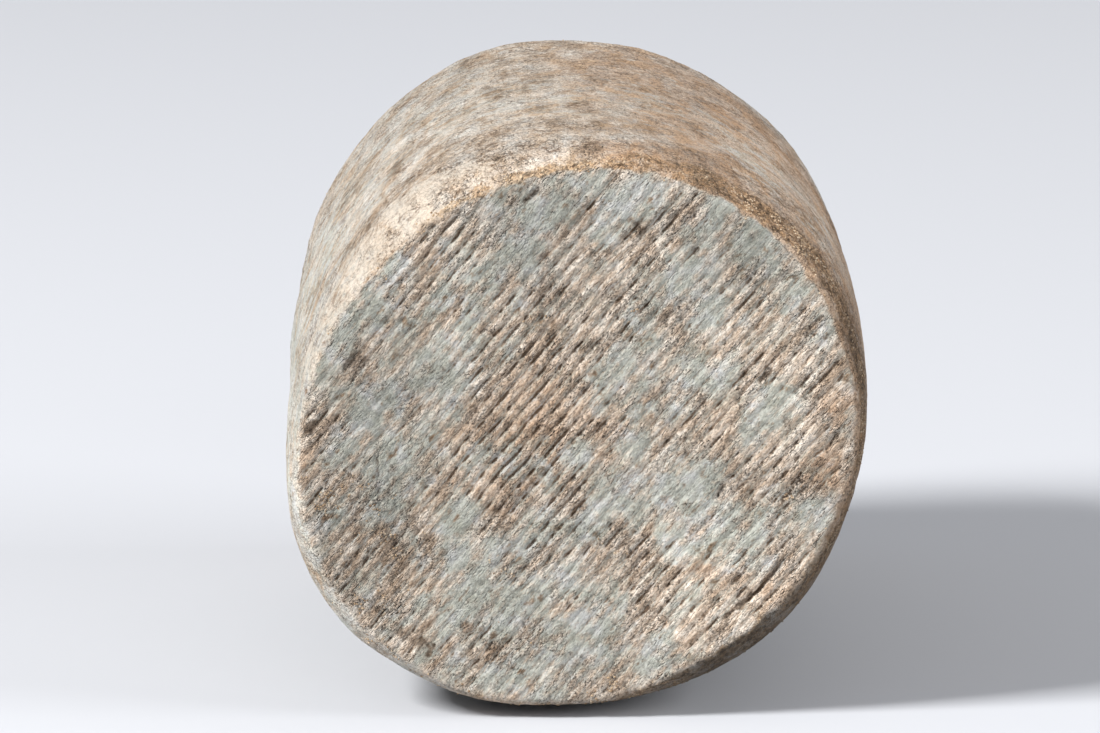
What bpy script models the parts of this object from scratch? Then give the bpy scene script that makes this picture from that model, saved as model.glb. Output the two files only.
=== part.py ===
"""A whole fourme, a drum-shaped blue cheese, lying on its side.

Frame: metres, +Z up. The drum's axis runs along Y, with the end that shows its
mat ridges best at -Y. The origin is under the middle of the drum, on the plane
Z = 0 that the cheese rests on.

The wall is a turned profile, pushed out of round by broad lobes, as a cheese is
that was drained and turned by hand. Each end is a disc whose points lie along
the ridges that the drying mat pressed in, which mould has filled in places.
"""

import math

import bmesh
import bpy
from mathutils import Vector, geometry, noise

NAME = "cheese_wheel"

# The drum
LENGTH = 0.190
FRONT_RADIUS = 0.0655
BACK_RADIUS = 0.0641
BARREL_RISE = 0.0020
AXIS_HEIGHT = 0.0649
SEGMENTS = 100

# How far the section is out of round, at the front end and at the back end.
# Each lobe is (number of bulges, height, direction of one bulge).
FRONT_LOBES = (
    (2, 0.0023, math.radians(43)),
    (3, 0.0013, math.radians(-20)),
    (4, 0.0013, math.radians(37)),
)
BACK_LOBES = (
    (2, 0.0013, math.radians(-39)),
    (3, 0.0013, math.radians(46)),
    (4, 0.0009, math.radians(14)),
)

# The shoulder, where the wall draws in towards an end
SHOULDER_LENGTH = 0.018
FRONT_SHOULDER_DEPTH = 0.0034
BACK_SHOULDER_DEPTH = 0.0047
SHOULDER_POWER = 2.2
SHOULDER_STEPS = 4
FRONT_SHOULDER_LOBES = (
    (2, 0.0008, math.radians(-72)),
    (3, 0.0010, math.radians(-20)),
    (4, 0.0015, math.radians(37)),
)
BACK_SHOULDER_LOBES = (
    (2, 0.0009, math.radians(20)),
    (3, 0.0007, math.radians(65)),
)

# The edge between the wall and an end
EDGE_RADIUS = 0.0020
EDGE_STEPS = 3
EDGE_BAND = 0.0016

# The wall between the shoulders
WALL_RINGS = 9
DENT_HEIGHT = 0.0006
DENT_SIZE = 0.024
CRUST_HEIGHT = 0.0005
CRUST_SIZE = 0.0065
CRUST_REACH = 0.009

# The ridges that the mat pressed into each end
RIDGE_PITCH = 0.00267
RIDGE_DEPTH = 0.0010
RIDGE_POINT_STEP = 0.0052
RIDGE_WANDER = 0.00016
RIDGE_PATCH_SIZE = 0.0085
RIDGE_EDGE_GAP = 0.0016
RIDGE_FADE = 0.0050
FRONT_RIDGE_LEAN = math.radians(46)
BACK_RIDGE_LEAN = math.radians(-33)

# Where mould has filled the ridges of the front end. Each bloom is (x, height over
# the axis, half its length along the ridges, half its width), in metres.
BLOOMS = (
    (-0.007, 0.052, 0.010, 0.006),
    (-0.014, 0.041, 0.011, 0.005),
    (-0.049, 0.024, 0.009, 0.006),
    (-0.044, 0.004, 0.009, 0.007),
    (-0.030, 0.015, 0.009, 0.005),
    (0.010, 0.053, 0.008, 0.005),
    (0.036, 0.048, 0.009, 0.005),
    (0.026, 0.036, 0.008, 0.005),
    (0.012, 0.014, 0.008, 0.005),
    (0.043, 0.006, 0.007, 0.005),
    (0.022, -0.013, 0.011, 0.006),
    (0.037, -0.022, 0.007, 0.004),
    (-0.024, -0.037, 0.011, 0.006),
    (0.003, -0.045, 0.010, 0.007),
    (-0.016, -0.053, 0.010, 0.005),
)
BLOOM_COVER = 0.85

# The soft swells of mould between and over the ridges
SWELL_HEIGHT = 0.0006
SWELL_SIZE = 0.017
DISH_DEPTH = 0.0006

RIND_COLOUR = (0.40, 0.35, 0.29, 1.0)
RIND_ROUGHNESS = 0.9

# Where each noise field is read, so that no two of them match
DENT_PLACE = Vector((1.7, 4.1, 2.3))
CRUST_PLACE = Vector((8.4, 0.6, 5.2))
SWELL_PLACE = Vector((3.3, 7.9, 6.1))
PATCH_PLACE = Vector((5.5, 2.8, 9.6))
WANDER_PLACE = Vector((0.9, 6.6, 1.4))


def clear_scene():
    """Remove every object that the opening scene holds."""
    for item in list(bpy.data.objects):
        bpy.data.objects.remove(item, do_unlink=True)


def rind_material():
    """The dry grey-tan rind."""
    material = bpy.data.materials.new("rind")
    material.use_nodes = True
    shader = material.node_tree.nodes["Principled BSDF"]
    shader.inputs["Base Color"].default_value = RIND_COLOUR
    shader.inputs["Roughness"].default_value = RIND_ROUGHNESS
    shader.inputs["Metallic"].default_value = 0.0
    return material


def lobe_sum(lobes, angle):
    """The height of a set of lobes in one direction round the axis."""
    return sum(height * math.cos(count * (angle - turn)) for count, height, turn in lobes)


def smooth_step(value):
    """Ease a value from 0 to 1, held at both ends."""
    value = min(max(value, 0.0), 1.0)
    return value * value * (3.0 - 2.0 * value)


def shoulder_share(from_end):
    """How much of the shoulder's depth is taken away this far from an end."""
    nearness = 1.0 - min(max(from_end / SHOULDER_LENGTH, 0.0), 1.0)
    return nearness ** SHOULDER_POWER


def barrel_radius(from_front):
    """The turned radius of the wall, with the slight swell of a full drum."""
    share = from_front / LENGTH
    middle = 2.0 * share - 1.0
    taper = FRONT_RADIUS + (BACK_RADIUS - FRONT_RADIUS) * share
    return taper + BARREL_RISE * (1.0 - middle * middle)


def end_profile(depth, radius_at):
    """Points from one end's inner ring, round its edge and over its shoulder.

    The edge is an arc that runs on smoothly into the shoulder, which starts
    steep. Each point is (distance from the end, radius) on the turned drum.
    """
    def wall_radius(reach):
        return radius_at(reach) - depth * shoulder_share(reach)

    slope = math.atan(depth * SHOULDER_POWER / SHOULDER_LENGTH)
    last_turn = 0.5 * math.pi - slope
    edge_reach = EDGE_RADIUS * (1.0 - math.cos(last_turn))
    flat_radius = wall_radius(edge_reach) - EDGE_RADIUS * math.sin(last_turn)
    points = [(0.0, flat_radius - EDGE_BAND)]
    for step in range(EDGE_STEPS + 1):
        turn = last_turn * step / EDGE_STEPS
        reach = EDGE_RADIUS * (1.0 - math.cos(turn))
        points.append((reach, flat_radius + EDGE_RADIUS * math.sin(turn)))
    for step in range(1, SHOULDER_STEPS + 1):
        reach = edge_reach + (SHOULDER_LENGTH - edge_reach) * step / SHOULDER_STEPS
        points.append((reach, wall_radius(reach)))
    return points


def full_profile():
    """The whole turned profile, from the front inner ring to the back one."""
    front = end_profile(FRONT_SHOULDER_DEPTH, barrel_radius)
    back = end_profile(BACK_SHOULDER_DEPTH, lambda reach: barrel_radius(LENGTH - reach))
    wall = []
    for ring in range(1, WALL_RINGS):
        reach = SHOULDER_LENGTH + (LENGTH - 2.0 * SHOULDER_LENGTH) * ring / WALL_RINGS
        wall.append((reach, barrel_radius(reach)))
    return front + wall + [(LENGTH - reach, radius) for reach, radius in reversed(back)]


def turned_wall():
    """Turn the profile about its own Z axis and lay that axis along Y."""
    profile = full_profile()
    mesh = bpy.data.meshes.new("wall_profile")
    # The profile stands at +X and runs from the top down, so that it turns outside out.
    corners = [(radius, 0.0, 0.5 * LENGTH - reach) for reach, radius in profile]
    edges = [(index, index + 1) for index in range(len(corners) - 1)]
    mesh.from_pydata(corners, edges, [])
    turned = bpy.data.objects.new("wall_profile", mesh)
    bpy.context.scene.collection.objects.link(turned)
    screw = turned.modifiers.new("turn", "SCREW")
    screw.axis = "Z"
    screw.angle = 2.0 * math.pi
    screw.steps = SEGMENTS
    screw.render_steps = SEGMENTS
    screw.use_merge_vertices = True
    screw.merge_threshold = 0.00001
    bpy.context.view_layer.update()
    graph = bpy.context.evaluated_depsgraph_get()
    wall = bpy.data.meshes.new_from_object(turned.evaluated_get(graph))
    bpy.data.objects.remove(turned, do_unlink=True)
    bpy.data.meshes.remove(mesh)
    return wall


def laid_down(point):
    """Turn a point of the upright drum so that its top faces -Y."""
    return Vector((point.x, -point.z, point.y))


def wall_place(point):
    """Push one point of the turned wall to its place on the real drum."""
    angle = math.atan2(point.z, point.x)
    radius = math.hypot(point.x, point.z)
    from_front = point.y + 0.5 * LENGTH
    back_share = from_front / LENGTH
    change = lobe_sum(FRONT_LOBES, angle) * (1.0 - back_share)
    change += lobe_sum(BACK_LOBES, angle) * back_share
    change -= lobe_sum(FRONT_SHOULDER_LOBES, angle) * shoulder_share(from_front)
    change -= lobe_sum(BACK_SHOULDER_LOBES, angle) * shoulder_share(LENGTH - from_front)
    change += DENT_HEIGHT * noise.noise(point / DENT_SIZE + DENT_PLACE)
    from_end = min(from_front, LENGTH - from_front)
    crust = 1.0 - smooth_step(from_end / CRUST_REACH)
    change += CRUST_HEIGHT * crust * noise.noise(point / CRUST_SIZE + CRUST_PLACE)
    scale = (radius + change) / radius
    return Vector((point.x * scale, point.y, point.z * scale))


def ridge_frame(lean):
    """The directions along and across the ridges, as (x, z), with lean taken from +X."""
    along = Vector((math.cos(lean), math.sin(lean)))
    across = Vector((-along.y, along.x))
    return along, across


def bloom_cover(place):
    """How far mould has filled the ridges at one point of the front end, from 0 to 1."""
    along, across = ridge_frame(FRONT_RIDGE_LEAN)
    cover = 0.0
    for x, height, half_length, half_width in BLOOMS:
        offset = place - Vector((x, height))
        reach = math.hypot(offset.dot(along) / half_length, offset.dot(across) / half_width)
        cover = max(cover, smooth_step(2.0 * (1.25 - reach)))
    return BLOOM_COVER * cover


def relief(place, valley, from_edge, end_y):
    """How far one point of an end stands out from the flat end."""
    spot = Vector((place.x, end_y, place.y))
    radius_share = place.length / FRONT_RADIUS
    height = SWELL_HEIGHT * noise.noise(spot / SWELL_SIZE + SWELL_PLACE)
    height -= DISH_DEPTH * (1.0 - radius_share * radius_share)
    fade = smooth_step(from_edge / RIDGE_FADE)
    if valley:
        patch = smooth_step(0.55 + 1.1 * noise.noise(spot / RIDGE_PATCH_SIZE + PATCH_PLACE))
        filled = bloom_cover(place) if end_y < 0.0 else 0.0
        height -= RIDGE_DEPTH * patch * (0.2 + 0.8 * fade) * (1.0 - filled)
    return height * smooth_step(from_edge / RIDGE_EDGE_GAP)


def end_points(rim, lean, side):
    """Points inside the rim, in rows along the ridges: valley, crest, valley."""
    along, across = ridge_frame(lean)
    row_gap = 0.5 * RIDGE_PITCH
    rows = int(FRONT_RADIUS / row_gap) + 1
    steps = int(FRONT_RADIUS / RIDGE_POINT_STEP) + 1
    points = []
    for row in range(-rows, rows + 1):
        stagger = 0.5 * RIDGE_POINT_STEP * (row % 2)
        for step in range(-steps, steps + 1):
            run = step * RIDGE_POINT_STEP + stagger
            place = along * run + across * (row * row_gap)
            spot = Vector((place.x, side, place.y)) / RIDGE_PATCH_SIZE + WANDER_PLACE
            place += across * (RIDGE_WANDER * noise.noise(spot))
            from_edge = rim_distance(rim, place)
            if from_edge > RIDGE_EDGE_GAP:
                points.append((place, row % 2 == 0, from_edge))
    return points


def rim_distance(rim, place):
    """How far inside the rim a point lies, along its own radius."""
    turn = math.atan2(place.y, place.x) % (2.0 * math.pi)
    share = turn / (2.0 * math.pi) * len(rim)
    first = int(share) % len(rim)
    blend = share - int(share)
    reach = rim[first] * (1.0 - blend) + rim[(first + 1) % len(rim)] * blend
    return reach - place.length


def close_end(drum, side, lean):
    """Fill one open end with a disc of ridges whose rim is the wall's own ring."""
    end_y = side * 0.5 * LENGTH
    ring = [v for v in drum.verts if v.is_boundary and abs(v.co.y - end_y) < EDGE_RADIUS]
    ring.sort(key=lambda v: math.atan2(v.co.z, v.co.x) % (2.0 * math.pi))
    rim = [math.hypot(v.co.x, v.co.z) for v in ring]
    inner = end_points(rim, lean, side)
    along, across = ridge_frame(lean)
    # The rows are closer together than the points along them, so the net is drawn
    # on a plane that is stretched across the rows until the two gaps are equal.
    stretch = 2.0 * RIDGE_POINT_STEP / RIDGE_PITCH
    flat = [Vector((v.co.x, v.co.z)) for v in ring] + [place for place, _, _ in inner]
    spread = [Vector((p.dot(along), p.dot(across) * stretch)) for p in flat]
    rim_edges = [(index, (index + 1) % len(ring)) for index in range(len(ring))]
    _, _, faces, sources, _, _ = geometry.delaunay_2d_cdt(spread, rim_edges, [], 1, 1e-7)
    verts = list(ring)
    for place, valley, from_edge in inner:
        stand = relief(place, valley, from_edge, end_y)
        verts.append(drum.verts.new((place.x, end_y + side * stand, place.y)))
    for face in faces:
        drum.faces.new([verts[sources[corner][0]] for corner in face])


def rest_on_strip(drum):
    """Press the lowest part of the wall flat and put the origin under the middle."""
    middle = [sum(bound(v.co[axis] for v in drum.verts) for bound in (min, max)) / 2.0
              for axis in (0, 1)]
    for vertex in drum.verts:
        vertex.co.x -= middle[0]
        vertex.co.y -= middle[1]
        vertex.co.z = max(vertex.co.z + AXIS_HEIGHT, 0.0)


def build_cheese():
    """The whole cheese as one closed object."""
    wall = turned_wall()
    drum = bmesh.new()
    drum.from_mesh(wall)
    bpy.data.meshes.remove(wall)
    for vertex in drum.verts:
        vertex.co = wall_place(laid_down(vertex.co))
    close_end(drum, -1.0, FRONT_RIDGE_LEAN)
    close_end(drum, 1.0, BACK_RIDGE_LEAN)
    rest_on_strip(drum)
    bmesh.ops.triangulate(drum, faces=drum.faces[:])
    bmesh.ops.recalc_face_normals(drum, faces=drum.faces[:])
    mesh = bpy.data.meshes.new(NAME)
    drum.to_mesh(mesh)
    drum.free()
    mesh.materials.append(rind_material())
    mesh.shade_smooth()
    mesh.set_sharp_from_angle(angle=math.radians(50))
    return bpy.data.objects.new(NAME, mesh)


def main():
    clear_scene()
    collection = bpy.data.collections.new("fourme_cheese")
    bpy.context.scene.collection.children.link(collection)
    collection.objects.link(build_cheese())


main()
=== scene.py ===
"""Looks of a whole fourme: a drum of blue cheese lying on its side.

The rind is one closed mesh. Its wall is a grid wrapped round the drum, and each end is a net of
triangles whose rows follow the ridges that the drying mat pressed in. The relief is worked out
from the ridges, blooms of mould, scabs and cracks named below. Each leaves its mask on the mesh,
and the finish colours the rind by those masks. Loose crumbs of crust are scattered over it by
Geometry Nodes.
"""

import enum
import logging
import math
from dataclasses import dataclass

import bpy
import numpy as np
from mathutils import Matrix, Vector, geometry


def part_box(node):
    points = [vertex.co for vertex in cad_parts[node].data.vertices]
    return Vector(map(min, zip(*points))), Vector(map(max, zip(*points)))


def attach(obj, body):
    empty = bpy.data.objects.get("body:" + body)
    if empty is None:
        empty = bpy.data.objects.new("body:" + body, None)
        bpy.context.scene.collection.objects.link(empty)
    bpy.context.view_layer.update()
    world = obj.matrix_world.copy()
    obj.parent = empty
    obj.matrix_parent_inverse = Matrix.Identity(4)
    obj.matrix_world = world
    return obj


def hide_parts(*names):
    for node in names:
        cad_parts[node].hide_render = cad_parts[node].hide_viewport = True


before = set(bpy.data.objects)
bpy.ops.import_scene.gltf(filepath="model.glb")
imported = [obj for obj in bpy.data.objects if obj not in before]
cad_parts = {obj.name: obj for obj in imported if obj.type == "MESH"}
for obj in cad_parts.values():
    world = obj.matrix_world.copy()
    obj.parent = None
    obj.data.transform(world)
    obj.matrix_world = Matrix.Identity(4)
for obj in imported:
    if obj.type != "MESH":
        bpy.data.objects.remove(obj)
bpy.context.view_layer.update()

LOG = logging.getLogger("fourme")
NODE = "cheese_wheel"
MM = 0.001
TURN = 2.0 * math.pi
# Directions of the mat's ridges on each end, in degrees from +X.
FRONT_LEAN = 49.5
BACK_LEAN = -33.0

Size = tuple[float, float, float]
Colour = tuple[float, float, float, float]
Marks = tuple[tuple[float, ...], ...]
Socket = bpy.types.NodeSocket

# Marks on the front end: x and z from the drum's axis and sizes in mm, then strength from 0 to 1.
# A bloom is an oval patch of mould: x, z, half its length along the ridges, half its width.
FRONT_BLOOMS = (
    (-7, 52, 9, 5, 1.0), (-12, 43, 7, 4.5, 0.9), (-2, 57, 5, 3.5, 0.8), (-19, 38, 8, 4, 0.9),
    (-17, 55, 4.5, 3, 0.6), (-41, 39, 4.5, 3, 0.9), (-49, 27, 8, 4.5, 0.95), (-55, 18, 6, 3, 0.8),
    (-45, 8, 8, 6, 0.9), (-54, 12, 4, 3, 0.6), (-33, 16, 7, 4.5, 0.95), (-27, 12, 5, 4.5, 0.9),
    (-25, 21, 4.5, 3, 0.8), (-30, 33, 6, 3, 0.8), (-24, 27, 4.5, 2.6, 0.7), (-38, 25, 4, 2.5, 0.5),
    (-27, 6, 3.5, 2.5, 0.7), (-15, 20, 3.5, 2, 0.6), (-12, 33, 4, 2, 0.6), (3, 58, 6, 3, 0.7),
    (10, 53, 7, 4, 0.9), (16, 55, 6, 3.5, 0.8), (8, 48, 5, 3, 0.8), (33, 52, 6, 4, 0.9),
    (28, 46, 5, 3.5, 0.8), (40, 46, 6, 4, 0.9), (45, 42, 5, 3, 0.7), (25, 37, 8, 4.5, 0.9),
    (22, 41, 4, 2.5, 0.6), (30, 29, 6, 3, 0.9), (15, 29, 6, 4, 0.75), (16, 21, 5, 2.2, 0.7),
    (9, 16, 7, 4, 0.95), (14, 12, 5, 3, 0.85), (26, 15, 5, 4, 0.8), (31, 13, 4, 3, 0.7),
    (24, 8, 5, 2.5, 0.8), (44, 7, 6, 4.5, 0.95), (40, 3, 6, 3, 0.8), (49, 33, 6, 3, 0.7),
    (55, 25, 4, 3, 0.5), (15, 6, 4, 3, 0.6), (35, 16, 3, 2, 0.5), (-41, -5, 7, 5, 0.9),
    (-42, -15, 7, 4.5, 0.85), (-53, -3, 4.5, 3, 0.7), (-54, -17, 4.5, 3, 0.7),
    (-35, 0, 5, 3, 0.7), (-27, -19, 5, 3.4, 1.0), (-27, -26, 5, 4, 0.9), (-25, -37, 9, 4.5, 1.0),
    (-16, -39, 7, 4.5, 0.85), (-28, -43, 5, 3.5, 0.8), (-21, -28, 6, 3.5, 0.8),
    (-10, -22, 6, 3.5, 0.8), (-9, -36, 6, 4, 0.75), (-47, -33, 5, 2.5, 0.6),
    (-40, -42, 4, 2.2, 0.6), (-35, -38, 3.5, 2, 0.6), (-35, -51, 4, 2.6, 0.6),
    (-12, -52, 8, 4, 0.8), (-21, -57, 8, 2.4, 0.8), (-5, -57, 6, 2.6, 0.7),
    (-28, -53, 5, 2.6, 0.6), (-4, -47, 7, 5, 0.8), (-15, -6, 4, 3.6, 0.7), (-22, -5, 4, 3.6, 0.7),
    (0, -5, 4.5, 3.5, 0.95), (-3, -22, 4, 3, 0.7), (3, -19, 6, 3.6, 0.9), (7, -12, 5, 3.5, 0.7),
    (14, -14, 6, 4.5, 0.9), (21, -12, 6, 4.5, 0.95), (27, -11, 7, 5, 0.95), (25, -18, 6, 3, 0.7),
    (13, -2, 5, 3, 0.8), (22, -21, 6, 3, 0.8), (25, -26, 5, 2.4, 0.7), (33, -22, 5, 3, 0.95),
    (40, -22, 6, 3.2, 0.95), (35, -28, 3.5, 2.6, 0.8), (34, -17, 3.5, 2.5, 0.7),
    (53, -18, 5, 3.6, 0.7), (3, -43, 9, 6, 0.95), (8, -38, 6, 3.4, 0.7), (5, -50, 6, 4, 0.7),
    (24, -37, 6, 2.6, 0.6), (18, -50, 7, 3.2, 0.75), (-2, -33, 5, 3.4, 0.7),
)
# Round marks have x, z, radius and strength. Scabs are dark and sunken.
FRONT_SCABS = (
    (-60, 2.5, 2.4, 1.0), (-49.5, 17, 3.4, 0.7), (-46, 13.5, 2.5, 0.5), (14.5, 47.5, 2.6, 0.6),
    (34.5, 29.5, 2.2, 0.6), (-33, -23.5, 1.8, 0.6), (-42, -26, 2.6, 0.5), (-40, -45, 2.6, 0.7),
    (-36, -47, 2.6, 0.6), (-54, -28, 2.0, 0.5), (47.5, 3, 1.7, 0.6), (-18, -16.5, 2.0, 0.6),
    (26.5, 43, 1.5, 0.5), (58, 11, 1.3, 0.6),
)
# Where the rind is gritty, warm in colour, and lighter or darker than elsewhere.
FRONT_GRIT = (
    (-52, -15, 13, 1.0), (-47, -38, 10, 1.0), (-18, -30, 9, 0.7), (-38, -24, 8, 0.9),
    (-15, -47, 9, 0.8), (8, -57, 8, 0.8), (50, -14, 8, 0.7), (15, 29, 5, 0.7), (50, 28, 7, 0.6),
    (-38, 35, 6, 0.5), (5, -25, 8, 0.6), (-8, 30, 9, 0.4),
)
FRONT_WARM = (
    (-5, 5, 26, 0.7), (-18, -10, 16, 0.5), (57, -8, 8, 1.0), (58, 6, 6, 1.0), (47, -38, 9, 0.8),
    (30, -31, 6, 0.9), (-62, -5, 5, 1.0), (-36, 52, 7, 0.9), (35, 0, 14, 0.5), (20, 30, 16, 0.3),
)
FRONT_LIGHT = (
    (42, 12, 24, 0.46), (30, -35, 24, 0.9), (-50, -20, 20, -0.6), (-45, 12, 20, -0.6),
    (0, 2, 20, 0.15), (-10, 46, 18, -0.5), (35, 42, 14, -0.5),
)
# Where the ridges stand out.
FRONT_RIDGED = (
    (-33, 42, 11, 1.1), (5, 48, 8, 0.6), (-8, 9, 23, 1.0), (-4, -16, 14, 1.0), (27, 2, 12, 0.5),
    (50, 14, 13, 0.5), (33, 30, 11, 0.5), (36, -27, 19, 0.44), (-48, 32, 8, 0.7),
    (-34, -40, 9, 0.4), (-22, -8, 11, 0.8), (13, 30, 10, 0.7), (50, -4, 9, 0.5),
    (18, -34, 10, 0.6), (-50, -22, 8, 0.4),
    (-8, -46, 20, 0.5), (-20, 25, 14, 0.5), (22, 48, 12, 0.5),
)
# A crack runs straight: x, z, length, direction in degrees, width, depth.
FRONT_CRACKS = (
    (-44.6, -11, 22, 91, 0.3, 0.25), (40.5, -35.5, 13, 46, 0.45, 0.8),
    (36.5, -38.5, 10, 44, 0.4, 0.7), (44.5, -30.5, 9, 50, 0.45, 0.7),
    (-33, -49, 4, 62, 0.45, 0.6), (-34, -47.5, 3.5, 128, 0.4, 0.5),
    (-10, 55.5, 6, 42, 0.5, 0.6), (32.3, -12.5, 4, 70, 0.4, 0.5), (48.5, -12, 8, 47, 0.5, 0.6),
    (53, 25.5, 7, 50, 0.45, 0.6), (57.5, -1, 6, 56, 0.4, 0.5), (42.3, 14.2, 5, 46, 0.6, 0.7),
)
# Marks on the wall: direction round the axis and its half-width in degrees, distance from the
# front end and its half-length in mm, then strength. 0 degrees is +X and 90 is up.
WALL_BLOOMS = (
    (200, 50, 50, 110, 1.0), (250, 40, 110, 90, 0.7), (135, 34, 110, 80, 0.55),
    (80, 30, 70, 40, 0.45), (40, 22, 50, 40, 0.45), (330, 30, 120, 50, 0.4),
)
RIM_CRUST = (
    (96, 26, 0, 2.6, 1.0), (62, 18, 4, 4.0, 0.9), (38, 30, 6.5, 4.8, 1.2), (5, 26, 6, 4.2, 1.0),
    (130, 16, 0, 2.0, 0.25), (160, 26, 0, 1.4, 0.2), (320, 40, 4, 6, 0.7), (250, 36, 2, 4, 0.3),
)
RIM_CREAM = (
    (148, 30, 11, 18, 0.95), (120, 14, 6, 9, 0.8), (178, 22, 8, 13, 0.85), (320, 34, 0, 2.0, 0.9),
    (75, 14, 6, 4, 0.4), (18, 46, 0.6, 1.6, 0.9),
)
WALL_CRACKED = (
    (140, 34, 16, 22, 1.0), (105, 24, 20, 20, 0.6), (35, 34, 16, 26, 1.2), (190, 30, 14, 20, 0.6),
    (300, 50, 30, 40, 0.5), (90, 180, 150, 60, 0.5),
)
WALL_WARM = (
    (88, 30, 5, 8, 0.3), (62, 22, 8, 12, 1.0), (20, 44, 60, 90, 1.0), (66, 34, 100, 90, 0.8),
    (300, 40, 60, 60, 0.7), (5, 44, 8, 12, 1.0), (40, 50, 0, 1.2, 0.9), (150, 30, 0, 0.9, 0.7),
)
# Painted light and shade on the wall, partly its own tone: darker on the right, much darker low on the
# right and underneath, lighter low on the left, over the upper right and along the top.
WALL_TONE_AND_PAINTED_LIGHT = (
    (8, 26, 60, 110, -0.20), (320, 34, 60, 110, -0.68), (52, 22, 8, 12, -0.10),
    (15, 22, 8, 12, -0.25), (180, 44, 60, 100, 0.02),
    (205, 26, 20, 60, 0.26), (42, 18, 50, 90, 0.32),
    (140, 20, 8, 12, 0.02), (96, 26, 2, 6, 0.20), (288, 26, 40, 90, -0.30),
)


def linear(red: int, green: int, blue: int) -> Colour:
    """Turn a screen colour into the linear one that shaders take.

    Args:
        red: red, from 0 to 255.
        green: green, from 0 to 255.
        blue: blue, from 0 to 255.

    Returns:
        The linear red, green, blue and an alpha of 1.
    """
    parts = [value / 255.0 for value in (red, green, blue)]
    parts = [part / 12.92 if part <= 0.04045 else ((part + 0.055) / 1.055) ** 2.4 for part in parts]
    return (parts[0], parts[1], parts[2], 1.0)


def ease(low: float, high: float, value: np.ndarray) -> np.ndarray:
    """Rise smoothly from 0 at low to 1 at high, for each value of an array."""
    share = np.clip((value - low) / (high - low), 0.0, 1.0)
    return share * share * (3.0 - 2.0 * share)


def part_of(value: np.ndarray) -> np.ndarray:
    """Hold each value of an array between 0 and 1."""
    return np.clip(value, 0.0, 1.0)


def cube(size: float) -> Size:
    """The same size along all three axes."""
    return (size, size, size)


def upright(x: np.ndarray, z: np.ndarray) -> np.ndarray:
    """Points of an upright plane, one row each."""
    return np.stack([x, np.zeros_like(x), z], 1)


def place_in_scene(name: str, data: bpy.types.ID) -> bpy.types.Object:
    """Show a mesh, a light or a camera as an object of its own at the origin.

    Args:
        name: the name of the object.
        data: what it shows.

    Returns:
        The object.
    """
    made = bpy.data.objects.new(name, data)
    bpy.context.scene.collection.objects.link(made)
    return made


class End(enum.Enum):
    """The two ends of the drum, by the side of the middle they are on."""

    FRONT = -1.0
    BACK = 1.0


@dataclass(frozen=True)
class Noise:
    """Seeded gradient noise, read at points in space.

    Attributes:
        seed: which of the endless fields this is.
        size: metres from one lump to the next, along X, Y and Z.
        layers: how many fields are added, each half as large as the last.
        fade: how strong each layer is beside the last.
        gain: what brings most values to between -1 and 1.
        slopes: how many slopes the cells draw from.
        layer_seeds: how far apart the layers' seeds are.
    """

    seed: int
    size: Size
    layers: int = 1
    fade: float = 0.55
    gain: float = 1.7
    slopes: int = 256
    layer_seeds: int = 17

    def at(self, places: np.ndarray) -> np.ndarray:
        """Read the noise.

        Args:
            places: points in metres, one row each.

        Returns:
            One value for each point, mostly from -1 to 1.
        """
        spots = places / np.asarray(self.size)
        total = np.zeros(len(places))
        weight, whole = 1.0, 0.0
        for layer in range(self.layers):
            seed = self.seed + self.layer_seeds * layer
            total += weight * self._cells(spots * 2.0 ** layer, seed)
            whole += weight
            weight *= self.fade
        return self.gain * total / whole

    def _cells(self, spots: np.ndarray, seed: int) -> np.ndarray:
        """Blend the slopes at the eight corners of each point's cell.

        Args:
            spots: points in cells, one row each.
            seed: the seed of this layer.

        Returns:
            One value for each point.
        """
        draw = np.random.RandomState(seed)
        order = np.tile(draw.permutation(self.slopes), 3)
        slopes = draw.normal(size=(self.slopes, 3))
        slopes /= np.linalg.norm(slopes, axis=1)[:, None]
        base = np.floor(spots).astype(int)
        part = spots - base
        curve = part ** 3 * (part * (part * 6.0 - 15.0) + 10.0)
        total = np.zeros(len(spots))
        for corner in range(8):
            step = np.array([(corner >> axis) & 1 for axis in range(3)])
            cell = (base + step) % self.slopes
            key = order[order[order[cell[:, 0]] + cell[:, 1]] + cell[:, 2]]
            weight = np.prod(np.where(step == 1, curve, 1.0 - curve), axis=1)
            total += weight * np.einsum("ij,ij->i", slopes[key], part - step)
        return total


@dataclass(frozen=True)
class Lobe:
    """One way in which a section is out of round: a number of bulges, a height, a direction."""

    count: int
    height: float
    turn: float

    def at(self, angle: np.ndarray) -> np.ndarray:
        """The height of the bulges in each direction round the axis."""
        return self.height * np.cos(self.count * (angle - math.radians(self.turn)))


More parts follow.
